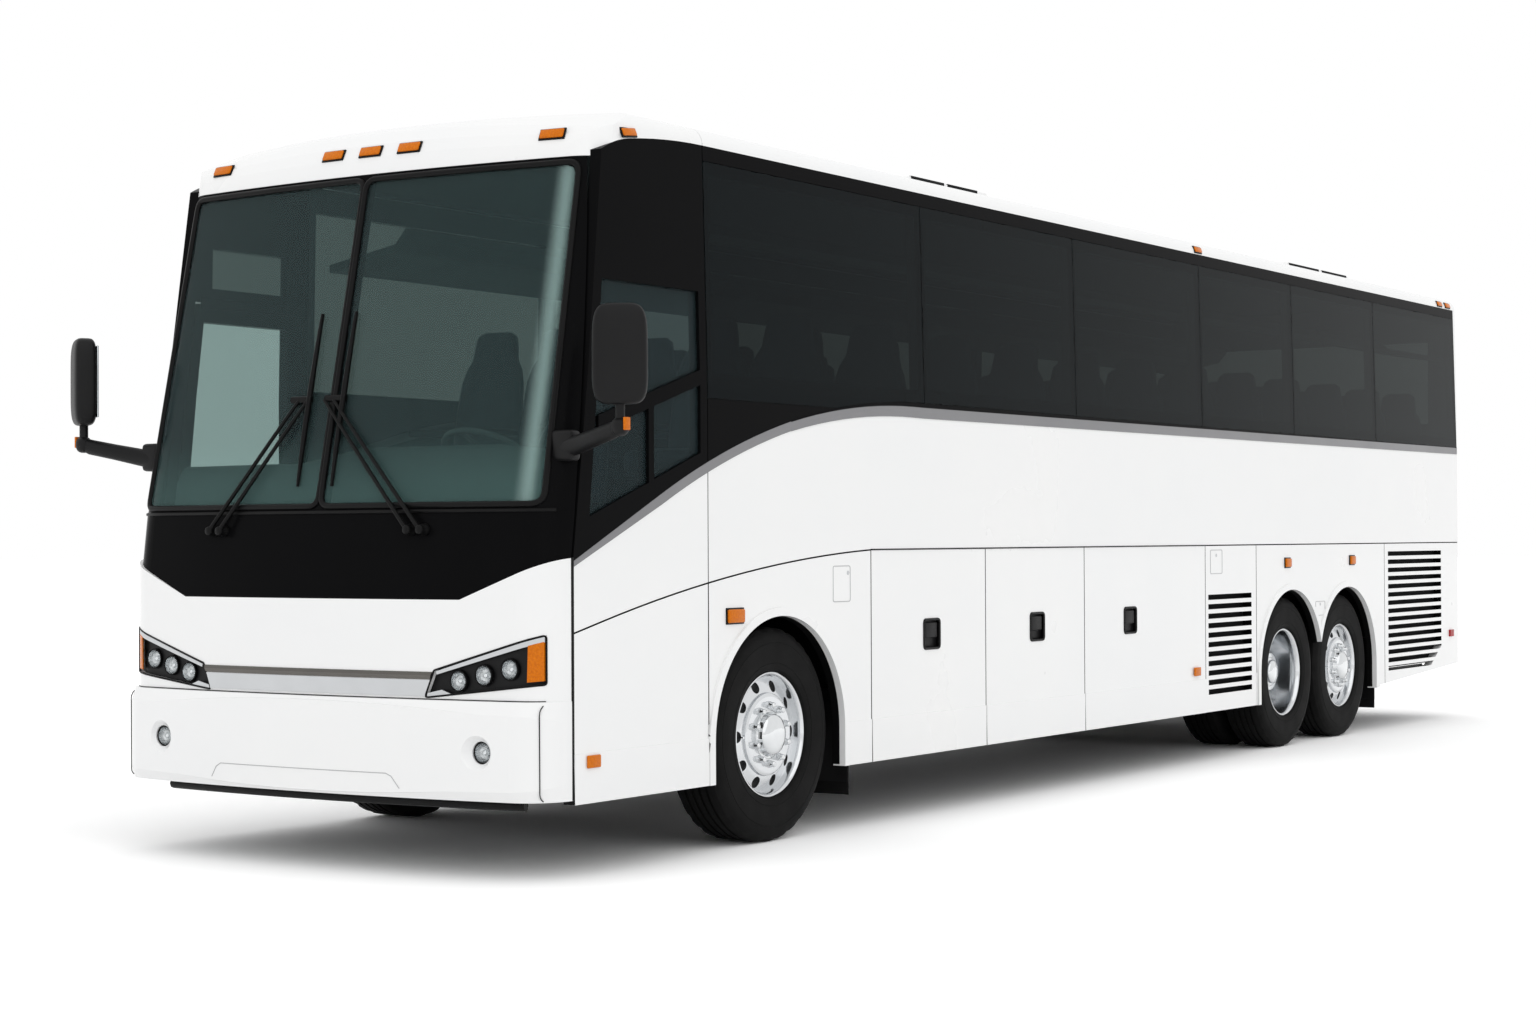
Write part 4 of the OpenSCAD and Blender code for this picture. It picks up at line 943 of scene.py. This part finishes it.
# arm from the head to the wall: x, y, z, radius
arm_points = [(HEAD_X, HEAD_Y, 1.952, 0.026), (5.893, 1.595, 1.938, 0.03), (5.850, 1.470, 1.912, 0.031),
              (5.808, 1.345, 1.886, 0.034), (5.790, 1.255, 1.872, 0.038)]
for side_name, s in SIDES:
    head_turn = Matrix.Rotation(math.radians(s * HEAD_TURN), 4, "Z")
    head_place = Matrix.Translation((HEAD_X, s * HEAD_Y, HEAD_Z)) @ head_turn
    head = moved(squared_ball((0.056, 0.122, 0.214), 0.42, taper=0.06), head_place)
    arm = swept([(x, s * y, z) for x, y, z, r in arm_points], [p[3] for p in arm_points], 14, flat=1.25)
    stem = swept([(HEAD_X, s * HEAD_Y, 1.945), (HEAD_X, s * HEAD_Y, 2.055)], 0.021, 16)
    knob_place = Matrix.Translation((HEAD_X, s * HEAD_Y, 1.950))
    knob = moved(squared_ball((0.036, 0.036, 0.040), 0.8, 24, 16), knob_place)
    shoe = side_block(s, (5.752, 1.20, 1.815), (5.828, 1.318, 1.950), 0.02)
    mirror_parts = joined(head, arm, stem, knob, shoe)
    mirror = dress("mirror_" + side_name, mirror_parts, grained_abs, sharp=50)
    if s == 1:
        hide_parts("mirrors")
    glass_parts = moved(soft_block((-0.060, -0.098, -0.176), (-0.051, 0.098, 0.176), 0.004), head_place)
    dress("mirror_glass_" + side_name, glass_parts, mirror_silver)
    repeater = side_block(s, (5.885, 1.666, 1.935), (5.925, 1.678, 1.990), 0.004)
    dress("mirror_repeater_" + side_name, repeater, amber_lens)
print("mirrors stand at", HEAD_Y, "m from the middle")

# %% [markdown]
# ## Wipers
# Each wiper has two parallel rods from its spindles to an elbow, so that the blade stays upright
# while it sweeps. Rods and blade are swept along the glass at a small lift.

# %% Wipers
SPINDLE_Z, ELBOW_Z, RODS_APART = 1.522, 2.120, 0.07
BLADE_LOW, BLADE_HIGH, BLADE_STEPS = 1.722, 2.523, 16
spindle = [(0, 52), (14, 51), (20, 46), (22, 38), (22, 20), (27, 14), (28, 0)]
swell = [math.sin(math.pi * k / BLADE_STEPS) for k in range(BLADE_STEPS + 1)]
heights = [BLADE_LOW + (BLADE_HIGH - BLADE_LOW) * k / BLADE_STEPS for k in range(BLADE_STEPS + 1)]
# side, pivot y, elbow y, blade y, side of the second rod
wiper_rows = (("right", -0.666, -0.205, -0.144, 1), ("left", 0.624, 0.010, 0.066, -1))
for side_name, pivot_y, elbow_y, blade_y, away in wiper_rows:
    parts = []
    for shift in (0.0, RODS_APART * away):
        foot = on_front(MASK_FACE, pivot_y + shift, SPINDLE_Z)
        top = on_front(SCREEN_FACE, elbow_y + shift * 0.8, ELBOW_Z, 0.016)
        low = foot + Vector((0.036, 0, 0))
        clear = Vector((0.004, 0, 0))
        rod = [low, low.lerp(top, 0.06) + clear, low.lerp(top, 0.9) + clear, top]
        parts.append(swept(rod, [0.012, 0.0105, 0.009, 0.009], 10))
        parts.append(moved(turned(mm_profile(spindle), 24), Matrix.Translation(foot) @ FORWARD))
    elbow_ys = min(elbow_y - 0.05, blade_y - 0.016), max(elbow_y + 0.05, blade_y + 0.016)
    elbow = [on_front(SCREEN_FACE, y, ELBOW_Z + 0.004, 0.014) for y in elbow_ys]
    parts.append(swept(elbow, 0.011, 10, flat=1.5))
    spine = [on_front(SCREEN_FACE, blade_y, z, 0.010 + 0.004 * w) for z, w in zip(heights, swell)]
    parts.append(swept(spine, [0.006 + 0.008 * w for w in swell], 8))
    parts.append(swept([on_front(SCREEN_FACE, blade_y, z) for z in heights], 0.0035, 6))
    wiper = dress("wiper_" + side_name, joined(*parts), rubber_and_painted_shade, sharp=50)
    if away == 1:
        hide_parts("wipers")
print("wipers: two rods each")

# %% [markdown]
# ## Door pulls and small lamps on the sides
# Each luggage door has a black pull sunk in its skin: a frame, a cup and a paddle. Marker lamps are
# small soft blocks of amber acrylic on a black foot. Both repeat, so they come from short tables.

# %% Luggage door pulls
# door, middle of the pull along the coach
door_pulls = [("l1", 2.656), ("l2", 1.431), ("l3", 0.188), ("r1", 2.656), ("r2", 1.431), ("r3", 0.188)]
PULL_Z, HALF_PULL_W, HALF_PULL_H, PULL_BEND = 0.9625, 0.085, 0.0775, 0.022


def outward(place, s):
    """Carries a part turned about Y to a place on the left skin, or half round to the right one."""
    return Matrix.Translation(place) @ Matrix.Rotation(0 if s > 0 else math.pi, 4, "Z")


for tag, x in door_pulls:
    s = 1 if tag[0] == "l" else -1
    x0, x1 = x - HALF_PULL_W, x + HALF_PULL_W
    z0, z1 = PULL_Z - HALF_PULL_H, PULL_Z + HALF_PULL_H
    outline = rounded_outline([(x0, z0), (x1, z0), (x1, z1), (x0, z1)], PULL_BEND)
    rim = swept([(p.x, s * (HALF_W + 0.001), p.y) for p in outline], 0.007, 8, closed=True)
    cup = side_block(s, (x0, HALF_W - 0.026, z0), (x1, HALF_W - 0.018, z1), 0.003)
    paddle = side_block(s, (x - 0.066, HALF_W - 0.019, PULL_Z - 0.022),
                        (x + 0.066, HALF_W - 0.001, PULL_Z + 0.062), 0.008)
    lock = moved(turned(mm_profile([(0, 4), (9, 4), (11, 2), (11, -8)]), 20),
                 outward((x + 0.045, s * (HALF_W - 0.018), PULL_Z - 0.048), s))
    pull = joined(rim, cup, paddle, lock)
    dress("door_pull_" + tag, pull, grained_abs, "bay_door_" + tag, 40)
print("door pulls:", len(door_pulls))

# %% Marker lamps


def lamp_at(place, out, up, width, height, depth, foot=0.006):
    """A lens and its black foot at a place, looking along out; two part sets."""
    out, up = Vector(out).normalized(), Vector(up)
    up = (up - out * up.dot(out)).normalized()
    across = up.cross(out)
    turn_to = Matrix((across, up, out)).transposed().to_4x4()
    spot = Matrix.Translation(place) @ turn_to
    x, y, edge = width / 2, height / 2, 0.007
    lens = soft_block((-x, -y, foot * 0.4), (x, y, depth), min(0.008, depth * 0.4))
    base = soft_block((-x - edge, -y - edge, -0.002), (x + edge, y + edge, foot), 0.003)
    return moved(lens, spot), moved(base, spot)


BROW_FACE = (5.6287, 3.2822, 25.0)
brow_lean = math.radians(BROW_FACE[2])
lamps = []
for y in (-1.016, -0.234, 0.0, 0.234, 1.016):
    out = Vector((math.cos(brow_lean), y / FRONT_R * math.cos(brow_lean), math.sin(brow_lean)))
    lamps.append(lamp_at(on_front(BROW_FACE, y, 3.283), out, (0, 0, 1), 0.122, 0.044, 0.016))
# side lamps: x, z, width, height, with both sides
side_lamps = [(4.539, 1.110, 0.136, 0.064), (-2.368, 1.288, 0.096, 0.060), (-3.627, 1.294, 0.096, 0.060)]
for x, z, width, height in side_lamps:
    for s in (1, -1):
        lamps.append(lamp_at((x, s * HALF_W, z), (0, s, 0), (0, 0, 1), width, height, 0.018))
# roof edge lamps: x, y, z, how the front end tips down
edge_lamps = [(5.342, 1.270, 3.297, 0.12), (-0.927, 1.262, 3.342, 0), (-5.720, 1.262, 3.342, 0),
              (-5.915, 1.262, 3.342, 0)]
for x, y, z, tip in edge_lamps:
    for s in (1, -1):
        lamps.append(lamp_at((x, s * y, z), (0, s, 0.35), (tip, 0, 1), 0.105, 0.036, 0.014))
lenses, feet = zip(*lamps)
marker = dress("marker_lenses", joined(*lenses), amber_lens, sharp=40)
dress("marker_feet", joined(*feet), rubber_and_painted_shade, sharp=40)
corner_parts = []
for s in (1, -1):
    corner_parts.append(front_strip(PANEL_FACE, ((s * 1.176, 1.020), (s * 1.2345, 1.037)),
                                    ((s * 1.172, 0.862), (s * 1.2345, 0.868)), -0.006, 12))
dress("corner_turn_lamps", joined(*corner_parts), amber_lens)
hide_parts("marker_lamps")
# low lamps without a rim: body, x, z, side
low_lamps = [("bay_door_l3", -0.800, 0.601, 1), ("bay_door_r3", -0.800, 0.601, -1),
             ("coach", 5.657, 0.508, 1), ("entrance", 5.657, 0.508, -1)]
for body, x, z, s in low_lamps:
    lens = lamp_at((x, s * (HALF_W + 0.003), z), (0, s, 0), (0, 0, 1), 0.094, 0.056, 0.014)[0]
    dress("low_lamp_" + body, lens, amber_lens, body, sharp=40)
print("marker lamps:", len(lamps) + 2 + len(low_lamps))

# %% [markdown]
# ## Seats
# The coach has rows of two and two, and a driver's seat. Each is a foam cushion and a tall back with
# a narrower headrest, sewn in moquette. They show as dark shapes through the tinted glass, so the
# outline matters most: rings of a squared oval are lofted up the back, and a crowned pad lies in front.

# %% Seat shape
moquette = surface("seat_moquette", "#3b4550", "#262d36", 18, (0.8, 0.95), 5, 0.5, Sheen_Weight=0.25)


def oval(centre, across, deep, square=0.55, count=20):
    """A squared oval ring about a centre, level, with half sizes across Y and deep along X."""
    ring = []
    for k in range(count):
        a = 2 * math.pi * k / count
        x = centre[0] + deep * power(math.cos(a), square)
        y = centre[1] + across * power(math.sin(a), square)
        ring.append((x, y, centre[2]))
    return ring


# seat back: height, setback, half width, half depth
back_rings = [(0.36, -0.480, 0.150, 0.030), (0.40, -0.480, 0.205, 0.058), (0.52, -0.500, 0.214, 0.062),
              (0.70, -0.530, 0.214, 0.056), (0.86, -0.560, 0.205, 0.050), (0.94, -0.576, 0.182, 0.047),
              (0.99, -0.586, 0.148, 0.045), (1.06, -0.598, 0.140, 0.044), (1.12, -0.604, 0.128, 0.038),
              (1.145, -0.606, 0.095, 0.022)]
# seat pad: height, setback, half width, half depth
pad_rings = [(0.335, -0.235, 0.195, 0.200), (0.350, -0.235, 0.212, 0.222), (0.400, -0.235, 0.216, 0.228),
             (0.435, -0.235, 0.210, 0.222), (0.452, -0.235, 0.185, 0.195), (0.460, -0.235, 0.110, 0.120)]


def seat_parts(place):
    """Cushions of one seat whose front edge is at the place's origin, on the floor."""
    back = lofted([oval((x, 0, z), across, deep) for z, x, across, deep in back_rings])
    pad = lofted([oval((x, 0, z), across, deep, 0.45) for z, x, across, deep in pad_rings])
    return moved(joined(back, pad), place)


def seat_frame(place):
    """Pedestal and arm rests of one seat."""
    foot = soft_block((-0.400, -0.06, 0.0), (-0.110, 0.06, 0.335), 0.015, 2)
    arms = []
    for y in (-0.222, 0.222):
        arms.append(soft_block((-0.470, y - 0.018, 0.560), (-0.120, y + 0.018, 0.600), 0.012, 2))
    return moved(joined(foot, *arms), place)


FLOOR_Z, DECK_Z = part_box("floor")[1].z, 1.050
ROWS, FIRST_ROW_X, ROW_PITCH, SEAT_YS = 12, 4.130, 0.830, (0.500, 0.962)
DRIVER_X, DRIVER_Y = 5.420, 0.580
seat_places = [(FIRST_ROW_X - ROW_PITCH * row, s * y, FLOOR_Z)
               for row in range(ROWS) for s in (1, -1) for y in SEAT_YS]
seat_places.append((DRIVER_X, DRIVER_Y, DECK_Z))
spots = [Matrix.Translation(p) for p in seat_places]
cushion_parts = joined(*[seat_parts(m) for m in spots])
cushions = dress("seat_cushions", cushion_parts, moquette, sharp=50)
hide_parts("seats")
frame_parts = joined(*[seat_frame(m) for m in spots])
dress("seat_frames", frame_parts, grained_abs, sharp=50)
print("seats:", len(seat_places))

# %% [markdown]
# ## Driver's place
# Under the windscreen the dashboard is one soft moulding on the left, with a cowl over the dials.
# It is lofted across the coach, so that its top bows with the glass. Its face carries a dial panel.
# In front of it a padded ledge follows the glass from pillar to pillar and rises before the driver.

# %% Dashboard


def dash_section(y):
    """Side outline of the dashboard at width y; it lies back towards the corners."""
    shift = bow(y) * 0.85
    rise = 0.045 * math.exp(-((y - DRIVER_Y) / 0.32) ** 2)
    outline = [(5.640, 1.060), (5.700, 1.060), (5.782, 1.260), (5.790, 1.560), (5.775, 1.640),
               (5.720, 1.690 + rise), (5.650, 1.712 + rise), (5.580, 1.705 + rise), (5.535, 1.680 + rise),
               (5.540, 1.630), (5.590, 1.520), (5.610, 1.300)]
    return [(x + shift, y, z) for x, z in outline]


DASH_RIGHT, DASH_LEFT, DASH_STEPS = -0.430, 1.160, 30
dash_ys = [DASH_RIGHT + (DASH_LEFT - DASH_RIGHT) * k / DASH_STEPS for k in range(DASH_STEPS + 1)]
moulding = lofted([dash_section(y) for y in dash_ys])
dash = dress("dashboard_moulding", moulding, cabin_vinyl, sharp=50)
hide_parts("dashboard")
column_axis = Vector((-0.52992, 0, 0.84805))
wheel_spot = Vector((5.470, DRIVER_Y, 1.850))
column = swept([wheel_spot - column_axis * 0.33, wheel_spot - column_axis * 0.035], [0.045, 0.032], 20)
dress("steering_column", column, grained_abs)
dial_glow = surface("dial_panel", "#20262a", "#14181b", 40, (0.2, 0.3), 10, 0.02)
dial = soft_block((5.530, 0.36, 1.600), (5.556, 0.80, 1.690), 0.006)
dress("dial_panel", dial, dial_glow)
LEDGE_Z, LEDGE_FOOT_Z, LEDGE_HALF, LEDGE_STEPS = 1.835, 1.640, 1.120, 56


def ledge_section(y):
    """Side outline of the ledge behind the glass at width y."""
    rise = max(0.0, min(1.0, (y + 0.30) / 0.40))
    fall = max(0.0, (y - 0.85) / 0.3)
    top = LEDGE_Z + 0.065 * rise - 0.03 * fall
    low = on_front(SCREEN_FACE, y, LEDGE_FOOT_Z, -0.110).x
    crest = on_front(SCREEN_FACE, y, top, -0.120).x
    outline = [(low, LEDGE_FOOT_Z), (low - 0.015, 1.755), (crest, top - 0.020), (crest - 0.03, top),
               (crest - 0.07, top - 0.004), (crest - 0.09, top - 0.03), (crest - 0.09, 1.745),
               (low - 0.09, 1.735)]
    return [(x, y, z) for x, z in outline]


ledge_ys = [LEDGE_HALF * (2 * k / LEDGE_STEPS - 1) for k in range(LEDGE_STEPS + 1)]
ledge = lofted([ledge_section(y) for y in ledge_ys])
dress("dash_ledge", ledge, cabin_vinyl, sharp=40)
print("dashboard from", dash_ys[0], "to", dash_ys[-1], "ledge to", ledge_ys[-1])

# %% [markdown]
# ## Roof and skin details
# Two raised air units sit on the roof with dark intake slots, and small domes and hatches stand near
# them. On the skin, hatches are thin shut lines: a fine grey sweep just proud of the paint reads as a
# gap from any distance. The bumper carries the same kind of line round its tow cover.

# %% Roof details
vent_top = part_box("roof_vents")[1].z
ROOF_Z = 3.410
slots = []
for x0, x1 in ((1.58, 1.93), (1.97, 2.34), (-3.77, -3.18), (-4.34, -3.83)):
    for s in (1, -1):
        slots.append(side_block(s, (x0, 0.985, 3.444), (x1, 1.004, 3.473), 0.004, 2))
dress("roof_unit_slots", joined(*slots), chassis_coat)
domes = [moved(squared_ball((0.075, 0.055, 0.022), 0.9, 24, 12), Matrix.Translation((x, y, ROOF_Z + 0.005)))
         for x, y in ((5.20, -0.20), (5.10, 0.70))]
dress("aerial_domes", joined(*domes), white_enamel, sharp=60)
HATCH_XS, HATCH_HALF, FRAME_HALF = (3.6, -0.62, -5.2), 0.32, 0.33
hatches = []
for x in HATCH_XS:
    low, high = (x - HATCH_HALF, -HATCH_HALF, ROOF_Z), (x + HATCH_HALF, HATCH_HALF, ROOF_Z + 0.030)
    hatches.append(soft_block(low, high, 0.012))
dress("roof_hatches", joined(*hatches), white_enamel)
hatch_seals = []
for x in HATCH_XS:
    x0, x1 = x - FRAME_HALF, x + FRAME_HALF
    corners = [(x0, -FRAME_HALF), (x1, -FRAME_HALF), (x1, FRAME_HALF), (x0, FRAME_HALF)]
    outline = rounded_outline(corners, 0.03)
    hatch_seals.append(swept([(p.x, p.y, ROOF_Z + 0.006) for p in outline], 0.010, 8, closed=True))
dress("hatch_seals", joined(*hatch_seals), rubber_and_painted_shade)
print("roof: 4 slot pairs, 2 domes, 3 hatches; top", round(vent_top, 3))

# %% Shut lines on the skin
LINE_R = 0.0022


def side_line(corners, s, radius=0.012):
    """A closed shut line through (x, z) corners on the left or right skin."""
    outline = rounded_outline(corners, radius, 4)
    return swept([(p.x, s * (HALF_W + 0.0004), p.y) for p in outline], LINE_R, 6, closed=True)


flaps = [[(3.489, 1.156), (3.653, 1.156), (3.653, 1.335), (3.489, 1.335)],
         [(-1.230, 1.230), (-1.040, 1.230), (-1.040, 1.385), (-1.230, 1.385)],
         [(-3.080, 0.905), (-2.900, 0.905), (-2.900, 1.005), (-3.080, 1.005)]]
lines = [side_line(corners, s) for corners in flaps for s in (1, -1)]
faint_line = surface("shut_line_grey", "#b9babb", "#adaeb0", 200, (0.6, 0.7), 20, 0.0)
dress("flap_shut_lines", joined(*lines), faint_line)
locks = []
for x, z in ((3.51, 1.300), (-1.135, 1.350), (-2.990, 0.985)):
    for s in (1, -1):
        locks.append(moved(turned(mm_profile([(0, 3), (9, 3), (11, 1.5), (11, -4)]), 16),
                           outward((x, s * HALF_W, z), s)))
dress("flap_locks", joined(*locks), satin_aluminium)
TOW_STEP = 0.06
tow_line = [(-0.590, 0.388), (-0.560, 0.436), (-0.530, 0.452), (0.480, 0.452), (0.510, 0.440),
            (0.555, 0.388)]
tow_path = []
for (y0, z0), (y1, z1) in zip(tow_line, tow_line[1:]):
    count = max(1, int(abs(y1 - y0) / TOW_STEP))
    shares = [k / count for k in range(count)]
    tow_path += [on_front(BUMPER_FACE, y0 + (y1 - y0) * t, z0 + (z1 - z0) * t) for t in shares]
tow_path.append(on_front(BUMPER_FACE, *tow_line[-1]))
dress("tow_cover_line", swept(tow_path, LINE_R, 6), faint_line)
print("shut lines:", len(lines) + 1)

# %% [markdown]
# The front section meets the sides at a black rubber seam. A fine dark joint lies over the bumper and
# at its ends, and a black rubber lip hangs under it.

# %% Front seam and joints
# bumper edges: height where the bend starts, radius of the bend, lift of its start
TOP_BEND_Z, TOP_BEND_R, TOP_LIFT = 0.722, 0.056, 0.003
FOOT_BEND_Z, FOOT_BEND_R, FOOT_LIFT = 0.384, 0.039, 0.002
BUMPER_TOP_Z, BUMPER_END_Y = 0.7795, 1.244
bends = [math.radians(15 * k) for k in range(7)]
over = [on_front(PANEL_FACE, 1.24 * (k / 20 - 1), BUMPER_TOP_Z, 0.002) for k in range(41)]
joints = [swept(over, 0.003, 6)]
for s in (1, -1):
    joints.append(side_block(s, (5.781, 1.265, 0.347), (5.799, 1.2962, 1.398), 0.003))
    down = [(TOP_BEND_Z + TOP_BEND_R * math.sin(a), TOP_LIFT - TOP_BEND_R * (1 - math.cos(a)))
            for a in reversed(bends)]
    down += [(FOOT_BEND_Z - FOOT_BEND_R * math.sin(a), FOOT_LIFT - FOOT_BEND_R * (1 - math.cos(a)))
             for a in bends[:5]]
    joints.append(swept([on_front(BUMPER_FACE, s * BUMPER_END_Y, z, lift) for z, lift in down], 0.0025, 6))
joints.append(swept([on_front(BUMPER_FACE, -0.95 + 0.06 * k, 0.330, -0.075) for k in range(36)], 0.024, 8))
dress("front_joints", joined(*joints), rubber_and_painted_shade, sharp=50)
print("front joints:", len(joints))

# %% [markdown]
# The luggage doors hang on one long rubber-covered hinge each, in the joint over them.

# %% Hinge covers
HINGE_Z, COVER_R = 1.416, 0.0039
for tag, _ in door_pulls:
    low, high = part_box("luggage_door_" + tag)
    axis_y = (HALF_W + 0.001) * (1 if tag[0] == "l" else -1)
    cover_xs = (low.x, (low.x + high.x) / 2, high.x)
    cover = swept([(x, axis_y, HINGE_Z) for x in cover_xs], COVER_R, 8)
    dress("hinge_cover_" + tag, cover, rubber_and_painted_shade, "bay_door_" + tag, sharp=50)
print("hinge covers at", round(axis_y, 3))

# %% [markdown]
# ## Arches and flaps
# The skirt turns in by a narrow white flange at each wheel, and a black liner starts behind it. The two
# rear arches share one liner that dips between the wheels. Rubber flaps hang behind the wheels.

# %% Arch liners and flaps
LINER_R, FLANGE_W, LINER_W = ARCH_R - 0.0015, 0.022, 0.064
ARCH_FOOT_Z, ARCH_STEPS = 0.335, 48


def arch_path(centres, r):
    """The (x, z) outline of an opening over its wheels, from its front foot to its rear foot."""
    path = [(centres[0] + r, ARCH_FOOT_Z)]
    for x in centres:
        angles = [math.pi * k / ARCH_STEPS for k in range(ARCH_STEPS + 1)]
        around = [(x + r * math.cos(a), AXLE_Z + r * math.sin(a)) for a in angles]
        path += [p for p in around if min(centres, key=lambda c: abs(c - p[0])) == x]
    return path + [(centres[-1] - r, ARCH_FOOT_Z)]


liners = []
for centres in (AXLE_XS[:1], AXLE_XS[1:]):
    outer, inner = arch_path(centres, LINER_R), arch_path(centres, LINER_R - 0.002)
    for s in (1, -1):
        liners.append(ribbon(outer, inner, s * (HALF_W - LINER_W), s * (HALF_W - FLANGE_W)))
dress("arch_liners", joined(*liners), rubber_and_painted_shade)
FLAP_XS = (3.400, -4.272)
flap_parts = []
for x in FLAP_XS:
    for s in (1, -1):
        flap_parts.append(side_block(s, (x + 0.001, 0.80, 0.165), (x + 0.011, 1.23, 0.240), 0.004))
dress("flap_ends", joined(*flap_parts), tyre_rubber)
print("liners:", len(liners), "flaps:", len(flap_parts))

# %% [markdown]
# Three dark pieces close gaps that would let daylight through: a black plate behind the lowest louvre on
# each side, painted shade for the dark bay behind it, and a rubber lip inside the head of the entrance.

# %% Light stops
# the black plates behind the lowest louvres are painted shade
stops = [side_block(s, (-5.30, 1.240, 0.418), (-4.36, 1.252, 0.458), 0.003) for s in (1, -1)]
head_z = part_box("entrance_door")[1].z
stops.append(soft_block((4.780, -1.2255, head_z - 0.020), (5.520, -1.2140, head_z + 0.030), 0.004))
dress("light_stops", joined(*stops), rubber_and_painted_shade)
print("light stops:", len(stops), "door head at", round(head_z, 3))

# %% [markdown]
# ## Waist stripe
# The grey stripe is paint, and its edges do not follow the panel joint exactly: towards the front it
# hangs a little lower and is wider. Two thin sheets of paint, grey and black, draw those edges.

# %% Stripe edges
WAIST_Z, SWEEP_X, SWEEP_R = 2.188, 2.780, 5.700


def waist(x):
    """Height of the panel joint under the windows."""
    return WAIST_Z - SWEEP_R + math.sqrt(SWEEP_R ** 2 - max(0.0, x - SWEEP_X) ** 2)


STRIPE_BACK, STRIPE_STEP = -6.040, 0.12
xs = [STRIPE_BACK + STRIPE_STEP * k for k in range(85)]
# how far the edges hang down at each place: most where the sweep starts
near = [max(0.0, min((x + 6.0) / 8.77, (4.12 - x) / 1.35)) for x in xs]
joint = [(x, waist(x) + 0.001) for x in xs]
top = [(x, waist(x) - 0.001 - 0.021 * n) for x, n in zip(xs, near)]
drops = [0.046 + 0.033 * n if x > SWEEP_X else 0.053 + 0.026 * n for x, n in zip(xs, near)]
foot = [(x, waist(x) - drop) for x, drop in zip(xs, drops)]
middle = [(x, waist(x) - 0.030) for x in xs]
for name, finish, slot_name, high, low in (("stripe_paint", stripe_enamel, "stripe_grey", middle, foot),
                                           ("band_paint", black_enamel, "body_black", joint, top)):
    sheets = [ribbon(high, low, s * (HALF_W + 0.002), s * (HALF_W + 0.0036)) for s in (1, -1)]
    dress(name, joined(*sheets), finish)
print("stripe from x", xs[0], "to", round(xs[-1], 3))
